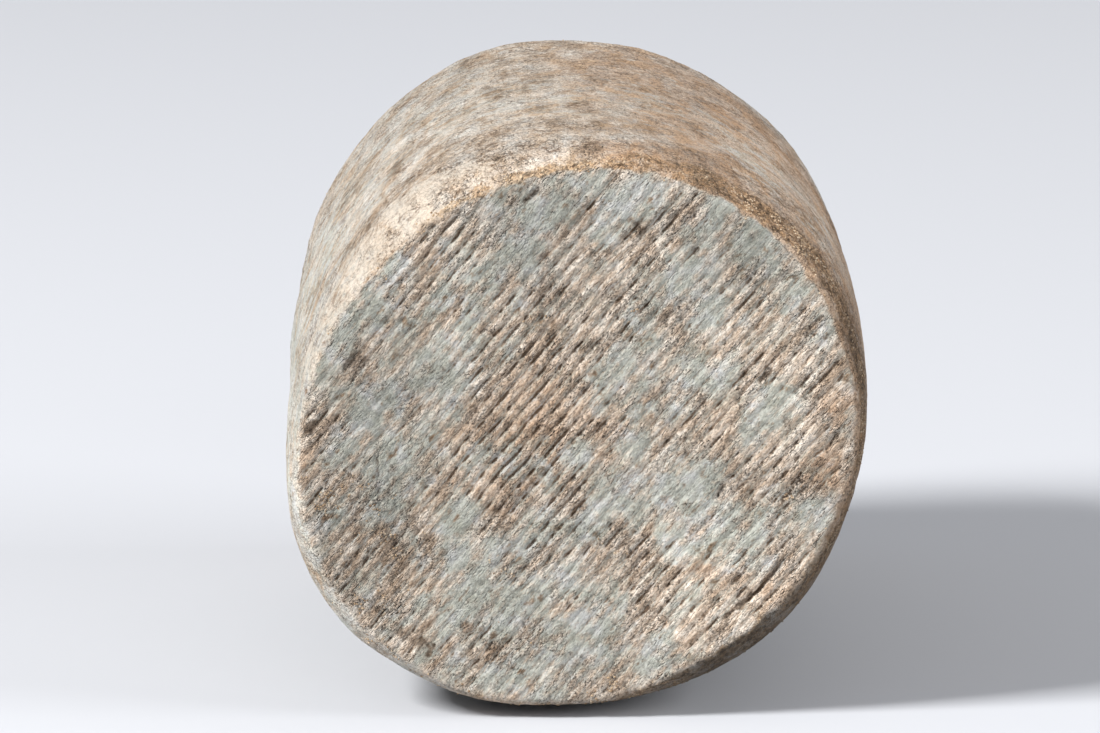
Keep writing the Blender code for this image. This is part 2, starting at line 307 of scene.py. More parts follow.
@dataclass(frozen=True)
class DrumForm:
    """The drum without its relief, as the CAD builds it. Sizes are in metres."""

    length: float = 0.190
    front_radius: float = 0.0655
    back_radius: float = 0.0641
    barrel_rise: float = 0.0020
    axis_height: float = 0.0649
    shoulder_length: float = 0.018
    front_depth: float = 0.0034
    back_depth: float = 0.0047
    shoulder_power: float = 2.2
    edge_radius: float = 0.0020
    dish_depth: float = 0.0006
    front_lobes: tuple[Lobe, ...] = (Lobe(2, 0.0023, 43), Lobe(3, 0.0013, -20), Lobe(4, 0.0013, 37))
    back_lobes: tuple[Lobe, ...] = (Lobe(2, 0.0013, -39), Lobe(3, 0.0013, 46), Lobe(4, 0.0009, 14))
    front_shoulder: tuple[Lobe, ...] = (
        Lobe(2, 0.0008, -72), Lobe(3, 0.0010, -20), Lobe(4, 0.0015, 37),
    )
    back_shoulder: tuple[Lobe, ...] = (Lobe(2, 0.0009, 20), Lobe(3, 0.0007, 65))

    def wall_radius(self, angle: np.ndarray, reach: np.ndarray) -> np.ndarray:
        """The radius of the wall.

        Args:
            angle: directions round the axis.
            reach: distances from the front end.

        Returns:
            The distance of the wall from the axis at each.
        """
        back = reach / self.length
        radius = self.front_radius + (self.back_radius - self.front_radius) * back
        radius = radius + self.barrel_rise * (1.0 - (2.0 * back - 1.0) ** 2)
        radius = radius + sum(lobe.at(angle) for lobe in self.front_lobes) * (1.0 - back)
        radius = radius + sum(lobe.at(angle) for lobe in self.back_lobes) * back
        front_end = (self.front_shoulder, self.front_depth, reach)
        back_end = (self.back_shoulder, self.back_depth, self.length - reach)
        for lobes, depth, from_end in (front_end, back_end):
            share = part_of(1.0 - from_end / self.shoulder_length) ** self.shoulder_power
            radius = radius - share * (depth + sum(lobe.at(angle) for lobe in lobes))
        return radius

    def edge_slope(self, end: End) -> float:
        """How steeply the wall draws in where it meets an end's edge, as an angle."""
        depth = self.front_depth if end is End.FRONT else self.back_depth
        return math.atan(depth * self.shoulder_power / self.shoulder_length)

    def edge_turn(self, end: End) -> float:
        """The angle that an end's rounded edge turns through."""
        return 0.5 * math.pi - self.edge_slope(end)

    def edge_reach(self, end: End) -> float:
        """How far from an end its rounded edge meets the wall."""
        return self.edge_radius * (1.0 - math.cos(self.edge_turn(end)))

    def flat_radius(self, angle: np.ndarray, end: End) -> np.ndarray:
        """The radius at which an end's flat face turns into its rounded edge.

        Args:
            angle: directions round the axis.
            end: which end.

        Returns:
            The radius in each direction.
        """
        from_end = self.edge_reach(end)
        reach = from_end if end is End.FRONT else self.length - from_end
        wall = self.wall_radius(angle, np.full_like(angle, reach))
        return wall - self.edge_radius * math.sin(self.edge_turn(end))

    def unrolled_reach(self, angle: np.ndarray, end: End, from_end: float) -> np.ndarray:
        """How far from the end's middle a distance along the wall lies, over face and edge."""
        over_wall = (from_end - self.edge_reach(end)) / math.cos(self.edge_slope(end))
        return self.flat_radius(angle, end) + self.edge_radius * self.edge_turn(end) + over_wall

    def end_point(self, angle: np.ndarray, spread: np.ndarray, end: End) -> np.ndarray:
        """Roll points of an end's flat pattern onto the drum.

        Args:
            angle: directions round the axis.
            spread: distances from the middle of the end, over its face, edge and wall.
            end: which end.

        Returns:
            The points, one row each, with Y from the middle of the drum.
        """
        flat = self.flat_radius(angle, end)
        last_turn = self.edge_turn(end)
        turn = np.clip((spread - flat) / self.edge_radius, 0.0, last_turn)
        over = np.maximum(spread - flat - self.edge_radius * last_turn, 0.0)
        from_end = self.edge_radius * (1.0 - np.cos(turn)) + over * math.cos(self.edge_slope(end))
        reach = from_end if end is End.FRONT else self.length - from_end
        on_edge = np.minimum(spread, flat) + self.edge_radius * np.sin(turn)
        radius = np.where(over > 0.0, self.wall_radius(angle, reach), on_edge)
        return self.laid(angle, radius, reach)

    def laid(self, angle: np.ndarray, radius: np.ndarray, reach: np.ndarray) -> np.ndarray:
        """Points of the drum about its own middle, from their turned sizes."""
        return np.stack([radius * np.cos(angle), reach - 0.5 * self.length, radius * np.sin(angle)], 1)


@dataclass(frozen=True)
class MatPrint:
    """The ridges that a drying mat pressed into one end. Sizes are in metres.

    Attributes:
        lean: direction of the ridges from +X, in degrees.
        seed: the seed of what is uneven in them.
        phases: where the rows of points lie, as shares of the pitch from a groove.
        pitch: from groove to groove.
        depth: how deep the strongest groove is.
        width: half-width of a groove.
        bend: how much the ridges curve, for each metre.
        rib_height: how far the ribs between the grooves are crowned.
        lump_height: how far the lumps along the ridges stand out.
        lump_size: from one such lump to the next, along the ridges and across them.
        shared_stray: how far neighbouring grooves stray sideways together.
        own_stray: how far each groove strays alone.
        lane_gap: how far apart in the noise two grooves are read, so that they differ.
        lane_size: size of that noise across the grooves.
    """

    lean: float
    seed: int
    phases: tuple[float, ...] = (-0.36, -0.20, -0.095, 0.0, 0.095, 0.20, 0.36, 0.5)
    pitch: float = 0.00267
    depth: float = 0.00070
    width: float = 0.00034
    bend: float = 0.63
    rib_height: float = 0.00022
    lump_height: float = 0.00025
    lump_size: Size = (0.0042, 0.0012, 1.0)
    shared_stray: float = 0.00030
    own_stray: float = 0.00042
    lane_gap: float = 0.0173
    lane_size: float = 0.005

    def lane(self, along: np.ndarray, row: np.ndarray) -> np.ndarray:
        """Where points of each groove are read from the noise."""
        return np.stack([along, row * self.lane_gap, np.zeros_like(along)], 1)

    def uneven(self, number: int, length: float, layers: int = 1) -> Noise:
        """Noise with lumps of a length in metres along the grooves."""
        return Noise(self.seed + number, (length, self.lane_size, 1.0), layers)

    def wander(self, x: np.ndarray, z: np.ndarray) -> np.ndarray:
        """How far the grooves stray sideways at points of the end, together and each alone.

        Args:
            x: the points' x.
            z: the points' z.

        Returns:
            The distance across the ridges for each.
        """
        shared = self.shared_stray * Noise(self.seed, cube(0.011)).at(upright(x, z))
        along, across = self.lines(x, z)
        lane = self.lane(along, np.round((across + shared) / self.pitch))
        return shared + self.own_stray * self.uneven(1, 0.0070, 2).at(lane)

    def lines(self, x: np.ndarray, z: np.ndarray) -> tuple[np.ndarray, np.ndarray]:
        """Distances along and across the ridges for points of the end.

        Args:
            x: the points' x.
            z: the points' z.

        Returns:
            The distances along, and those across.
        """
        lean = math.radians(self.lean)
        bent = z + self.bend * x * x
        return x * math.cos(lean) + bent * math.sin(lean), bent * math.cos(lean) - x * math.sin(lean)

    def grid(self, along_step: float, reach: float) -> np.ndarray:
        """Points in rows that follow the grooves and the ribs between them.

        Args:
            along_step: metres from point to point.
            reach: how far from the middle the rows go.

        Returns:
            The points' x and z, one row each.
        """
        along_count = int(reach / along_step) + 1
        rows = int(reach / self.pitch) + 1
        phases = np.array(self.phases)
        across = np.concatenate([(row + phases) * self.pitch for row in range(-rows, rows + 1)])
        along = np.arange(-along_count, along_count + 1) * along_step
        stagger = 0.5 * along_step * (np.arange(len(across)) % 2)
        along = (along[None, :] + stagger[:, None]).ravel()
        across = np.repeat(across, 2 * along_count + 1)
        x, z = self._placed(along, across)
        for _ in range(3):
            x, z = self._placed(along, across - self.wander(x, z))
        return np.stack([x, z], 1)

    def _placed(self, along: np.ndarray, across: np.ndarray) -> tuple[np.ndarray, np.ndarray]:
        """The x and z of points given along and across the ridges.

        Args:
            along: distances along the ridges.
            across: distances across them.

        Returns:
            The points' x, and their z.
        """
        lean = math.radians(self.lean)
        x = along * math.cos(lean) - across * math.sin(lean)
        return x, along * math.sin(lean) + across * math.cos(lean) - self.bend * x * x

    def press(self, x: np.ndarray, z: np.ndarray, show: np.ndarray) -> tuple[np.ndarray, ...]:
        """Press the mat into an end.

        Args:
            x: the points' x.
            z: the points' z.
            show: how far the ridges stand out at each, from 0 to 1.

        Returns:
            The height of each point, how strong the groove beside it is, and its place across
            the ridges in pitches.
        """
        along, across = self.lines(x, z)
        across = across + self.wander(x, z)
        row = np.round(across / self.pitch)
        off = across - row * self.pitch
        lane = self.lane(along, row)
        dash = 0.3 * self.uneven(2, 0.0095).at(lane)
        dash = dash + 1.1 * self.uneven(3, 0.0029, 2).at(lane)
        pressed = ease(-0.10, 0.30, dash + 0.62 * show - 0.56)
        strength = (0.25 + 0.75 * show) * (0.34 + 0.66 * pressed)
        width = self.width * (1.0 + 0.6 * self.uneven(4, 0.0030).at(lane))
        groove = strength * np.exp(-np.abs(off / width) ** 2.0)
        rib = 0.5 + 0.5 * np.cos(TURN * (off / self.pitch - 0.5))
        flat = np.stack([along, across, np.zeros_like(along)], 1)
        lump = Noise(self.seed + 5, self.lump_size, 2).at(flat)
        height = self.rib_height * (rib - 0.5) * (0.35 + 0.65 * show) - self.depth * groove
        return height + self.lump_height * lump * (0.4 + 0.6 * show), strength, across / self.pitch


@dataclass
class RindMasks:
    """Where each kind of surface shows, and the painted light and shade, one value for each point of
    the rind.
    """

    bloom: np.ndarray
    groove: np.ndarray
    lines: np.ndarray
    crust: np.ndarray
    cream: np.ndarray
    scab: np.ndarray
    grit: np.ndarray
    crumb: np.ndarray
    wall: np.ndarray
    warm: np.ndarray
    # light: painted light and shade on the wall and the back end, and patches lighter or darker than
    # elsewhere on the front end.
    light: np.ndarray

    def paint(self, mesh: bpy.types.Mesh) -> None:
        """Store the masks on a mesh, one float attribute each.

        Args:
            mesh: the mesh, with its points in the order of the masks.
        """
        for name, values in vars(self).items():
            layer = mesh.attributes.new(name, "FLOAT", "POINT")
            layer.data.foreach_set("value", values.astype(np.float32))


class Nodes:
    """A short way to lay out a node tree."""

    def __init__(self, tree: bpy.types.NodeTree) -> None:
        """Start from a tree."""
        self.tree = tree

    def node(self, kind: str, given: dict | None = None, **settings: object) -> bpy.types.Node:
        """Add one node.

        Args:
            kind: which kind of node.
            given: what goes into its inputs, by name or number.
            settings: its properties, which are set first.

        Returns:
            The node.
        """
        made = self.tree.nodes.new(kind)
        for name, value in settings.items():
            setattr(made, name, value)
        for name, value in (given or {}).items():
            self.put(made.inputs[name], value)
        return made

    def put(self, socket: Socket, value: object) -> None:
        """Set a socket to a value, or link it where the value is a term or a socket itself.

        Args:
            socket: the input.
            value: what goes into it.
        """
        value = value.socket if isinstance(value, Term) else value
        if isinstance(value, Socket):
            self.tree.links.new(value, socket)
        else:
            socket.default_value = value

    def step(self, operation: str, *values: object) -> "Term":
        """One step of arithmetic."""
        made = self.node("ShaderNodeMath", dict(enumerate(values)), operation=operation)
        return Term(self, made.outputs[0])


@dataclass(frozen=True)
class Term:
    """A value in a node tree. Arithmetic with it adds a node for each step."""

    nodes: Nodes
    socket: Socket

    def __add__(self, other: object) -> "Term":
        """This value and another, added."""
        return self.nodes.step("ADD", self, other)

    def __radd__(self, other: object) -> "Term":
        """A plain number and this value, added."""
        return self.nodes.step("ADD", other, self)

    def __sub__(self, other: object) -> "Term":
        """This value less another."""
        return self.nodes.step("SUBTRACT", self, other)

    def __rsub__(self, other: object) -> "Term":
        """A plain number less this value."""
        return self.nodes.step("SUBTRACT", other, self)

    def __mul__(self, other: object) -> "Term":
        """This value times another."""
        return self.nodes.step("MULTIPLY", self, other)

    def or_more(self, other: object) -> "Term":
        """The larger of this value and another."""
        return self.nodes.step("MAXIMUM", self, other)

    def between(self, first: object, second: object) -> "Term":
        """This share of the way from one value to another."""
        given = {0: self, 2: first, 3: second}
        return Term(self.nodes, self.nodes.node("ShaderNodeMix", given, data_type="FLOAT").outputs[0])

    def spread(self, low: float, high: float, start: float = 0.0, stop: float = 1.0) -> "Term":
        """Map low to high onto start to stop, smoothly, and hold both ends.

        Args:
            low: the value that becomes start.
            high: the value that becomes stop.
            start: what low becomes.
            stop: what high becomes.

        Returns:
            The mapped value.
        """
        given = {"Value": self, "From Min": low, "From Max": high, "To Min": start, "To Max": stop}
        made = self.nodes.node("ShaderNodeMapRange", given, interpolation_type="SMOOTHSTEP")
        return Term(self.nodes, made.outputs["Result"])


@dataclass(frozen=True)
class Lumps:
    """Noise in a finish, from 0 to 1.

    Attributes:
        size: metres from one lump to the next.
        detail: how many finer layers it has.
        rough: how strong those are.
        swirl: how far the lumps are bent.
        stretch: how far they are stretched along each axis.
        leaning: whether X follows the ridges of the ends.
    """

    size: float
    detail: float = 2.0
    rough: float = 0.55
    swirl: float = 0.0
    stretch: Size = (1.0, 1.0, 1.0)
    leaning: bool = False


class Sheet(Nodes):
    """The shader nodes of one material."""

    def __init__(self, name: str, roughness: float) -> None:
        """Make the material, with its shader.

        Args:
            name: the material's name.
            roughness: how matt it is, from 0 to 1.
        """
        self.material = bpy.data.materials.new(name)
        self.material.use_nodes = True
        super().__init__(self.material.node_tree)
        self.shader = self.tree.nodes["Principled BSDF"]
        self.shader.inputs["Roughness"].default_value = roughness

    def mask(self, name: str) -> Term:
        """Read one of the mesh's masks."""
        return Term(self, self.node("ShaderNodeAttribute", attribute_name=name).outputs["Fac"])

    def place(self, look: Lumps) -> Socket:
        """Object coordinates, stretched and turned as lumps are.

        Args:
            look: the lumps.

        Returns:
            The coordinates.
        """
        coords = self.node("ShaderNodeTexCoord").outputs["Object"]
        if look.leaning:
            apart = self.node("ShaderNodeSeparateXYZ", {"Vector": coords})
            is_back = self.step("GREATER_THAN", apart.outputs["Y"], 0.0)
            lean = is_back.between(math.radians(FRONT_LEAN), math.radians(BACK_LEAN))
            turned = {"Vector": coords, "Angle": lean}
            turned = self.node("ShaderNodeVectorRotate", turned, rotation_type="Y_AXIS")
            coords = turned.outputs["Vector"]
        stretched = {"Vector": coords, "Scale": look.stretch}
        return self.node("ShaderNodeMapping", stretched, vector_type="TEXTURE").outputs["Vector"]

    def noise(self, look: Lumps) -> Term:
        """Noise of one kind.

        Args:
            look: which kind.

        Returns:
            The noise, from 0 to 1.
        """
        made = self.node("ShaderNodeTexNoise", {
            "Vector": self.place(look), "Scale": 1.0 / look.size, "Detail": look.detail,
            "Roughness": look.rough, "Distortion": look.swirl,
        })
        return Term(self, made.outputs["Fac"])

    def granules(self, look: Lumps) -> tuple[Term, Term]:
        """Granules: the distance from each one's middle, and its own shade.

        Args:
            look: their size, stretch and lean.

        Returns:
            The distance, and the shade.
        """
        given = {"Vector": self.place(look), "Scale": 1.0 / look.size}
        made = self.node("ShaderNodeTexVoronoi", given)
        return Term(self, made.outputs["Distance"]), Term(self, made.outputs["Color"])

    def ramp(self, value: Term, *stops: tuple[float, Colour]) -> Term:
        """Colours along a value from 0 to 1.

        Args:
            value: the value.
            stops: where along it each colour lies, and the colour.

        Returns:
            The colour.
        """
        made = self.node("ShaderNodeValToRGB", {"Fac": value})
        marks = made.color_ramp.elements
        while len(marks) < len(stops):
            marks.new(1.0)
        for mark, (spot, colour) in zip(marks, stops):
            mark.position = spot
            mark.color = colour
        return Term(self, made.outputs["Color"])

    def mix(self, share: object, first: object, second: object, way: str = "MIX") -> Term:
        """Mix two colours.

        Args:
            share: how much of the second colour.
            first: the first colour.
            second: the second colour.
            way: how they blend, as the Mix node has it.

        Returns:
            The mixed colour.
        """
        given = {"Factor": share, 6: first, 7: second}
        made = self.node("ShaderNodeMix", given, data_type="RGBA", blend_type=way)
        return Term(self, made.outputs[2])

    def bump(self, height: object, distance: float, under: Socket | None = None,
             strength: float = 1.0) -> Socket:
        """Small relief, over what is already under it.

        Args:
            height: its height, from 0 to 1.
            distance: what a height of 1 is, in metres.
            under: the relief under it.
            strength: how much of it shows.

        Returns:
            The normal.
        """
        given = {"Distance": distance, "Strength": strength, "Height": height}
        if under is not None:
            given["Normal"] = under
        return self.node("ShaderNodeBump", given).outputs["Normal"]

    def finish(self, colour: Term, tone: Term, relief: Socket) -> bpy.types.Material:
        """Put a colour, lighter or darker by a tone, and the small relief on the shader.

        Args:
            colour: the colour.
            tone: what the colour is multiplied by.
            relief: the normal.

        Returns:
            The material.
        """
        grey = self.node("ShaderNodeCombineColor", dict.fromkeys(("Red", "Green", "Blue"), tone))
        colour = self.mix(1.0, colour, grey.outputs["Color"], "MULTIPLY")
        self.put(self.shader.inputs["Base Color"], colour)
        self.put(self.shader.inputs["Normal"], relief)
        return self.material


@dataclass(frozen=True)
class RindFinish:
    """The dry, mouldy rind: tan and cream under a film of grey-blue mould."""

    name: str = "mouldy_rind"
    roughness: float = 0.88
    gloss: float = 0.25
    tan_dark: Colour = linear(142, 120, 99)
    tan: Colour = linear(192, 172, 152)
    cream: Colour = linear(229, 217, 202)
    bloom_dark: Colour = linear(148, 153, 143)
    bloom: Colour = linear(172, 177, 169)
    bloom_light: Colour = linear(190, 193, 193)
    groove: Colour = linear(112, 86, 62)
    groove_pale: Colour = linear(172, 146, 124)
    scab: Colour = linear(100, 80, 62)
    orange: Colour = linear(204, 174, 146)
    wall_dark: Colour = linear(132, 113, 94)
    wall_tan: Colour = linear(182, 162, 141)
    wall_cream: Colour = linear(206, 191, 175)
    wall_pale: Colour = linear(214, 208, 199)
    rust: Colour = linear(194, 161, 124)
    rim_cream: Colour = linear(206, 193, 177)
    crust: Colour = linear(180, 158, 132)
    crust_orange: Colour = linear(198, 167, 132)
    crust_dark: Colour = linear(100, 82, 60)
    olive: Colour = linear(204, 164, 106)
    # How far the edges of patches stray, and how much of the mould shows on the ends and the wall.
    slow_stray: float = 2.3
    quick_stray: float = 1.3
    end_film: float = 0.64
    wall_film: float = 0.88
    base_tone: float = 0.845
    pit_darkness: float = 0.34
    # How deep each kind of small relief is, in metres.
    wrinkle_depth: float = 0.0008
    trench_depth: float = 0.0004
    crease_depth: float = 0.0003
    thread_depth: float = 0.0015
    lump_depth: float = 0.0012
    grain_depth: float = 0.00055


@dataclass(frozen=True)
class RindGrain:
    """What is uneven in the rind's colours and small relief."""

    face_streaks: Lumps = Lumps(0.0030, 4.0, 0.62, 0.0, (2.6, 1.0, 1.0), True)
    face_threads: Lumps = Lumps(0.00075, 2.0, 0.6, 0.0, (5.0, 1.0, 1.0), True)
    face_edges: Lumps = Lumps(0.0030, 4.0, 0.62, 0.0, (1.6, 1.0, 1.0), True)
    face_frays: Lumps = Lumps(0.0015, 3.0, 0.65, 0.0, (2.4, 1.0, 1.0), True)
    wall_blotches: Lumps = Lumps(0.008, 3.0, 0.55, 0.0, (1.0, 2.6, 1.0))
    wall_mottle: Lumps = Lumps(0.0020, 3.0, 0.62, 0.2, (1.0, 1.6, 1.0))
    wall_edges: Lumps = Lumps(0.0052, 4.0, 0.62)
    wall_frays: Lumps = Lumps(0.0011, 3.0, 0.65)
    wall_nicks: Lumps = Lumps(0.0024, 3.0, 0.6, 0.2, (1.8, 0.6, 1.8))
    wall_folds: Lumps = Lumps(0.0036, 3.0, 0.6, 0.3, (0.8, 1.3, 0.8))
    wall_cracked: Lumps = Lumps(0.0100, 3.0, 0.6)
    wall_wrinkles: Lumps = Lumps(0.0018, 3.0, 0.6, 0.0, (1.0, 1.6, 1.0))
    rust: Lumps = Lumps(0.0070, 4.0, 0.62, 0.2, (1.0, 2.6, 1.0))
    mould: Lumps = Lumps(0.0052, 4.0, 0.6)
    crust: Lumps = Lumps(0.0034, 4.0, 0.65)
    crust_granules: Lumps = Lumps(0.00085)
    groove_sides: Lumps = Lumps(0.0009, 3.0, 0.65, 0.0, (1.6, 1.0, 1.0), True)
    hairlines: Lumps = Lumps(0.0058, 3.0, 0.58, 0.3, (1.0, 0.7, 1.0))
    hairline_parts: Lumps = Lumps(0.0087, 2.0, 0.6)
    coarse: Lumps = Lumps(0.0065, 3.0, 0.6)
    pits: Lumps = Lumps(0.00095, 2.0, 0.6)
    grains: Lumps = Lumps(0.00034, stretch=(1.8, 1.1, 1.0), leaning=True)
    threads: Lumps = Lumps(0.00085, 2.0, 0.6, 0.0, (5.0, 1.0, 1.0), True)
    lumps: Lumps = Lumps(0.0019, 3.0, 0.6)


class RindPaint:
    """Lays out the rind's material from its finish, its grain and the masks on its mesh."""

    def __init__(self, finish: RindFinish, grain: RindGrain) -> None:
        """Start the material, and find where each kind of surface shows.

        Args:
            finish: the colours and depths.
            grain: what is uneven in them.
        """
        self.look, self.grain = finish, grain
        self.sheet = sheet = Sheet(finish.name, finish.roughness)
        sheet.shader.inputs["Specular IOR Level"].default_value = finish.gloss
        self.wall = sheet.mask("wall")
        slow = self.wall.between(sheet.noise(grain.face_edges), sheet.noise(grain.wall_edges))
        quick = self.wall.between(sheet.noise(grain.face_frays), sheet.noise(grain.wall_frays))
        self.stray = (slow - 0.5) * finish.slow_stray + (quick - 0.5) * finish.quick_stray
        self.gap = self.groove_gap()
        self.trench = self.groove_depth()
        self.cream = (sheet.mask("cream") + self.stray).spread(0.3, 0.9, 0.0, 0.78)
        self.warm = (sheet.mask("warm") + self.stray).spread(0.1, 1.1, 0.0, 0.75)
        self.film = self.mould_film()
        self.dry = 1.0 - self.film.or_more(self.cream) * 0.6
        self.crease = self.creases() * self.dry
        rough = sheet.noise(grain.coarse).spread(0.42, 0.60)
        self.coarse = rough + sheet.mask("grit") * 0.6
        self.bare = (0.45 + self.coarse * 0.45) * self.dry

    def groove_gap(self) -> Term:
        """How far each place lies from the nearest groove, in pitches, with ragged sides."""
        stray = (self.sheet.noise(self.grain.groove_sides) - 0.5) * 0.36
        return self.sheet.step("PINGPONG", self.sheet.mask("lines") + stray, 0.5)

    def groove_depth(self) -> Term:
        """How deep in a groove each place lies, from 0 to 1.

        Returns:
            The depth.
        """
        groove = self.sheet.mask("groove")
        share = self.sheet.step("DIVIDE", self.gap, 0.05 + groove * 0.14)
        return share.spread(0.15, 1.0, 1.0, 0.0) * groove

    def mould_film(self) -> Term:
        """How thick the mould is. It is thinner in the grooves and thicker beside them.

        Returns:
            The share of the colour that is mould.
        """
        share = self.wall.between(self.look.end_film, self.look.wall_film)
        flank = self.gap.spread(0.0, 0.5, 0.40, -0.40) * self.sheet.mask("groove")
        film = (self.sheet.mask("bloom") - self.trench) * share + self.wall.between(flank, -0.14)
        return (film + self.stray).spread(-0.20, 0.72, 0.0, 0.84)

    def contour(self, look: Lumps, inner: float, outer: float, height: float) -> Term:
        """Thin lines where noise crosses its middle value."""
        away = self.sheet.step("ABSOLUTE", self.sheet.noise(look) - 0.5)
        return away.spread(inner, outer, height, 0.0)

    def creases(self) -> Term:
        """Thin dark creases: a few on the ends, and short ones that run round the wall.

        Returns:
            How dark each place is, from 0 to 1.
        """
        sheet, grain = self.sheet, self.grain
        line = self.contour(grain.hairlines, 0.002, 0.010, 0.5)
        line = line * sheet.noise(grain.hairline_parts).spread(0.54, 0.64)
        nick = sheet.noise(grain.wall_nicks).spread(0.56, 0.66)
        mark = nick.or_more(self.contour(grain.wall_folds, 0.006, 0.026, 1.0) * 0.8)
        where = sheet.noise(grain.wall_cracked) + sheet.mask("grit") * 0.10
        return self.wall.between(line, mark * where.spread(0.47, 0.62, 0.10, 1.0))

    def face(self) -> Term:
        """The bare face: tan to cream, in streaks along the ridges.

        Returns:
            The colour.
        """
        look, broad = self.look, self.sheet.noise(self.grain.face_streaks)
        both = broad * 0.55 + self.sheet.noise(self.grain.face_threads) * 0.45
        return self.sheet.ramp(both, (0.34, look.tan_dark), (0.48, look.tan), (0.62, look.cream))

    def side(self) -> Term:
        """The bare wall: cream and tan in soft blotches, rust-coloured here and there.

        Returns:
            The colour.
        """
        sheet, look, grain = self.sheet, self.look, self.grain
        both = sheet.noise(grain.wall_blotches) * 0.67 + sheet.noise(grain.wall_mottle) * 0.33
        base = sheet.ramp(
            both, (0.34, look.wall_dark), (0.42, look.wall_tan), (0.50, look.wall_cream),
            (0.62, look.wall_pale),
        )
        share = 0.35 + sheet.mask("warm") * 0.8
        rust = sheet.noise(grain.rust).spread(0.47, 0.60, 0.0, 0.70) * share
        return sheet.mix(rust, base, look.rust)

    def mould(self) -> Term:
        """The grey-blue mould.

        Returns:
            The colour.
        """
        look, tone = self.look, self.sheet.noise(self.grain.mould)
        stops = ((0.33, look.bloom_dark), (0.5, look.bloom), (0.68, look.bloom_light))
        return self.sheet.ramp(tone, *stops)

    def crumbly(self) -> Term:
        """The granular crust at the rims: every granule brown, tan, orange, olive or cream.

        Returns:
            The colour.
        """
        sheet, look = self.sheet, self.look
        _, shade = sheet.granules(self.grain.crust_granules)
        tone = sheet.noise(self.grain.crust) * 0.65 + shade * 0.35
        grain = sheet.ramp(
            tone, (0.34, look.crust_dark), (0.46, look.crust), (0.53, look.crust_orange),
            (0.60, look.crust), (0.68, look.wall_cream),
        )
        return sheet.mix(self.warm * 0.9, grain, sheet.mix(0.7, grain, look.olive, "MULTIPLY"))

    def colour(self) -> Term:
        """The colour of the rind: each kind of surface over those before it.

        Returns:
            The colour.
        """
        sheet, look = self.sheet, self.look
        colour = sheet.mix(self.wall, self.face(), self.side())
        colour = sheet.mix(self.cream, colour, look.rim_cream)
        colour = sheet.mix(self.warm, colour, sheet.mix(0.55, look.orange, colour, "MULTIPLY"))
        colour = sheet.mix(self.film, colour, self.mould())
        crust = (sheet.mask("crust") + self.stray).spread(0.25, 0.75, 0.0, 0.85)
        colour = sheet.mix(crust, colour, self.crumbly())
        soil = sheet.mix(sheet.mask("groove").spread(0.3, 0.8), look.groove_pale, look.groove)
        colour = sheet.mix(self.trench.spread(0.0, 0.7, 0.0, 0.68), colour, soil)
        scab = (sheet.mask("scab") + self.stray).spread(0.2, 0.8, 0.0, 0.8)
        colour = sheet.mix(scab, colour, look.scab)
        return sheet.mix(self.crease * 0.75, colour, look.groove)

    def tone(self, shade: Term) -> Term:
        """How light each place is: grains of their own shade, dark pits, and the light mask, which
        paints light and shade on the wall and the back end.

        Args:
            shade: the shade of each grain.

        Returns:
            What the colour is multiplied by.
        """
        sheet = self.sheet
        calm = 1.0 - (self.film * 0.5).or_more(self.cream * 0.75)
        tone = shade.spread(0.15, 0.65, -0.42, 0.10) * calm * (0.75 + self.coarse * 0.22)
        pit = sheet.noise(self.grain.pits).spread(0.60, 0.70)
        tone = tone - pit * self.bare * self.look.pit_darkness
        # The light mask adds the painted light and shade.
        return (self.look.base_tone + tone) * (1.0 + sheet.mask("light"))

    def relief(self, middle: Term) -> Socket:
        """The small relief, from wrinkles of the wall to single grains.

        Args:
            middle: the distance from each grain's middle.

        Returns:
            The normal.
        """
        sheet, look, grain = self.sheet, self.look, self.grain
        relief = sheet.bump(sheet.noise(grain.wall_wrinkles) * self.wall, look.wrinkle_depth)
        relief = sheet.bump(self.trench * -1.0, look.trench_depth, relief)
        relief = sheet.bump(self.crease * -1.0, look.crease_depth, relief)
        thread = sheet.noise(grain.threads) * self.bare * (1.0 - self.wall)
        relief = sheet.bump(thread, look.thread_depth, relief)
        relief = sheet.bump(sheet.noise(grain.lumps) * self.bare, look.lump_depth, relief)
        return sheet.bump(middle * self.bare, -look.grain_depth, relief)

    def build(self) -> bpy.types.Material:
        """Finish the material."""
        middle, shade = self.sheet.granules(self.grain.grains)
        return self.sheet.finish(self.colour(), self.tone(shade), self.relief(middle))


@dataclass(frozen=True)
class CrumbFinish:
    """Loose crumbs of dry crust, each its own shade."""

    name: str = "crust_crumbs"
    roughness: float = 0.9
    dark: Colour = linear(118, 94, 70)
    tan: Colour = linear(170, 145, 116)
    pale: Colour = linear(190, 172, 148)
    grain: Lumps = Lumps(0.0003)
    grain_depth: float = 0.0001
    grain_strength: float = 0.6

    def build(self) -> bpy.types.Material:
        """Make the material.

        Returns:
            The material.
        """
        sheet = Sheet(self.name, self.roughness)
        stops = ((0.0, self.dark), (0.45, self.tan), (1.0, self.pale))
        colour = sheet.ramp(sheet.mask("tint"), *stops)
        relief = sheet.bump(sheet.noise(self.grain), self.grain_depth, None, self.grain_strength)
        # The crumbs take the same painted light and shade as the rind under them.
        return sheet.finish(colour, 1.0 + sheet.mask("light"), relief)


@dataclass
class RindPoints:
    """The points of the plain drum, in the order of the mesh, and the faces between them.

    Attributes:
        places: x, y and z of each, from the middle of the drum.
        angle: the direction of each round the axis.
        edge: how far outside its end's edge each lies, along the surface.
        side: which end each is nearer to, by the values of End.
        faces: the points at the corners of each face.
    """

    places: np.ndarray
    angle: np.ndarray
    edge: np.ndarray
    side: np.ndarray
    faces: list[list[int]]

    def mesh(self, name: str) -> bpy.types.Mesh:
        """Make a mesh of the points and faces as they are.

        Args:
            name: the mesh's name.

        Returns:
            The mesh.
        """
        mesh = bpy.data.meshes.new(name)
        mesh.from_pydata([tuple(place) for place in self.places], [], self.faces)
        mesh.validate()
        mesh.update()
        return mesh


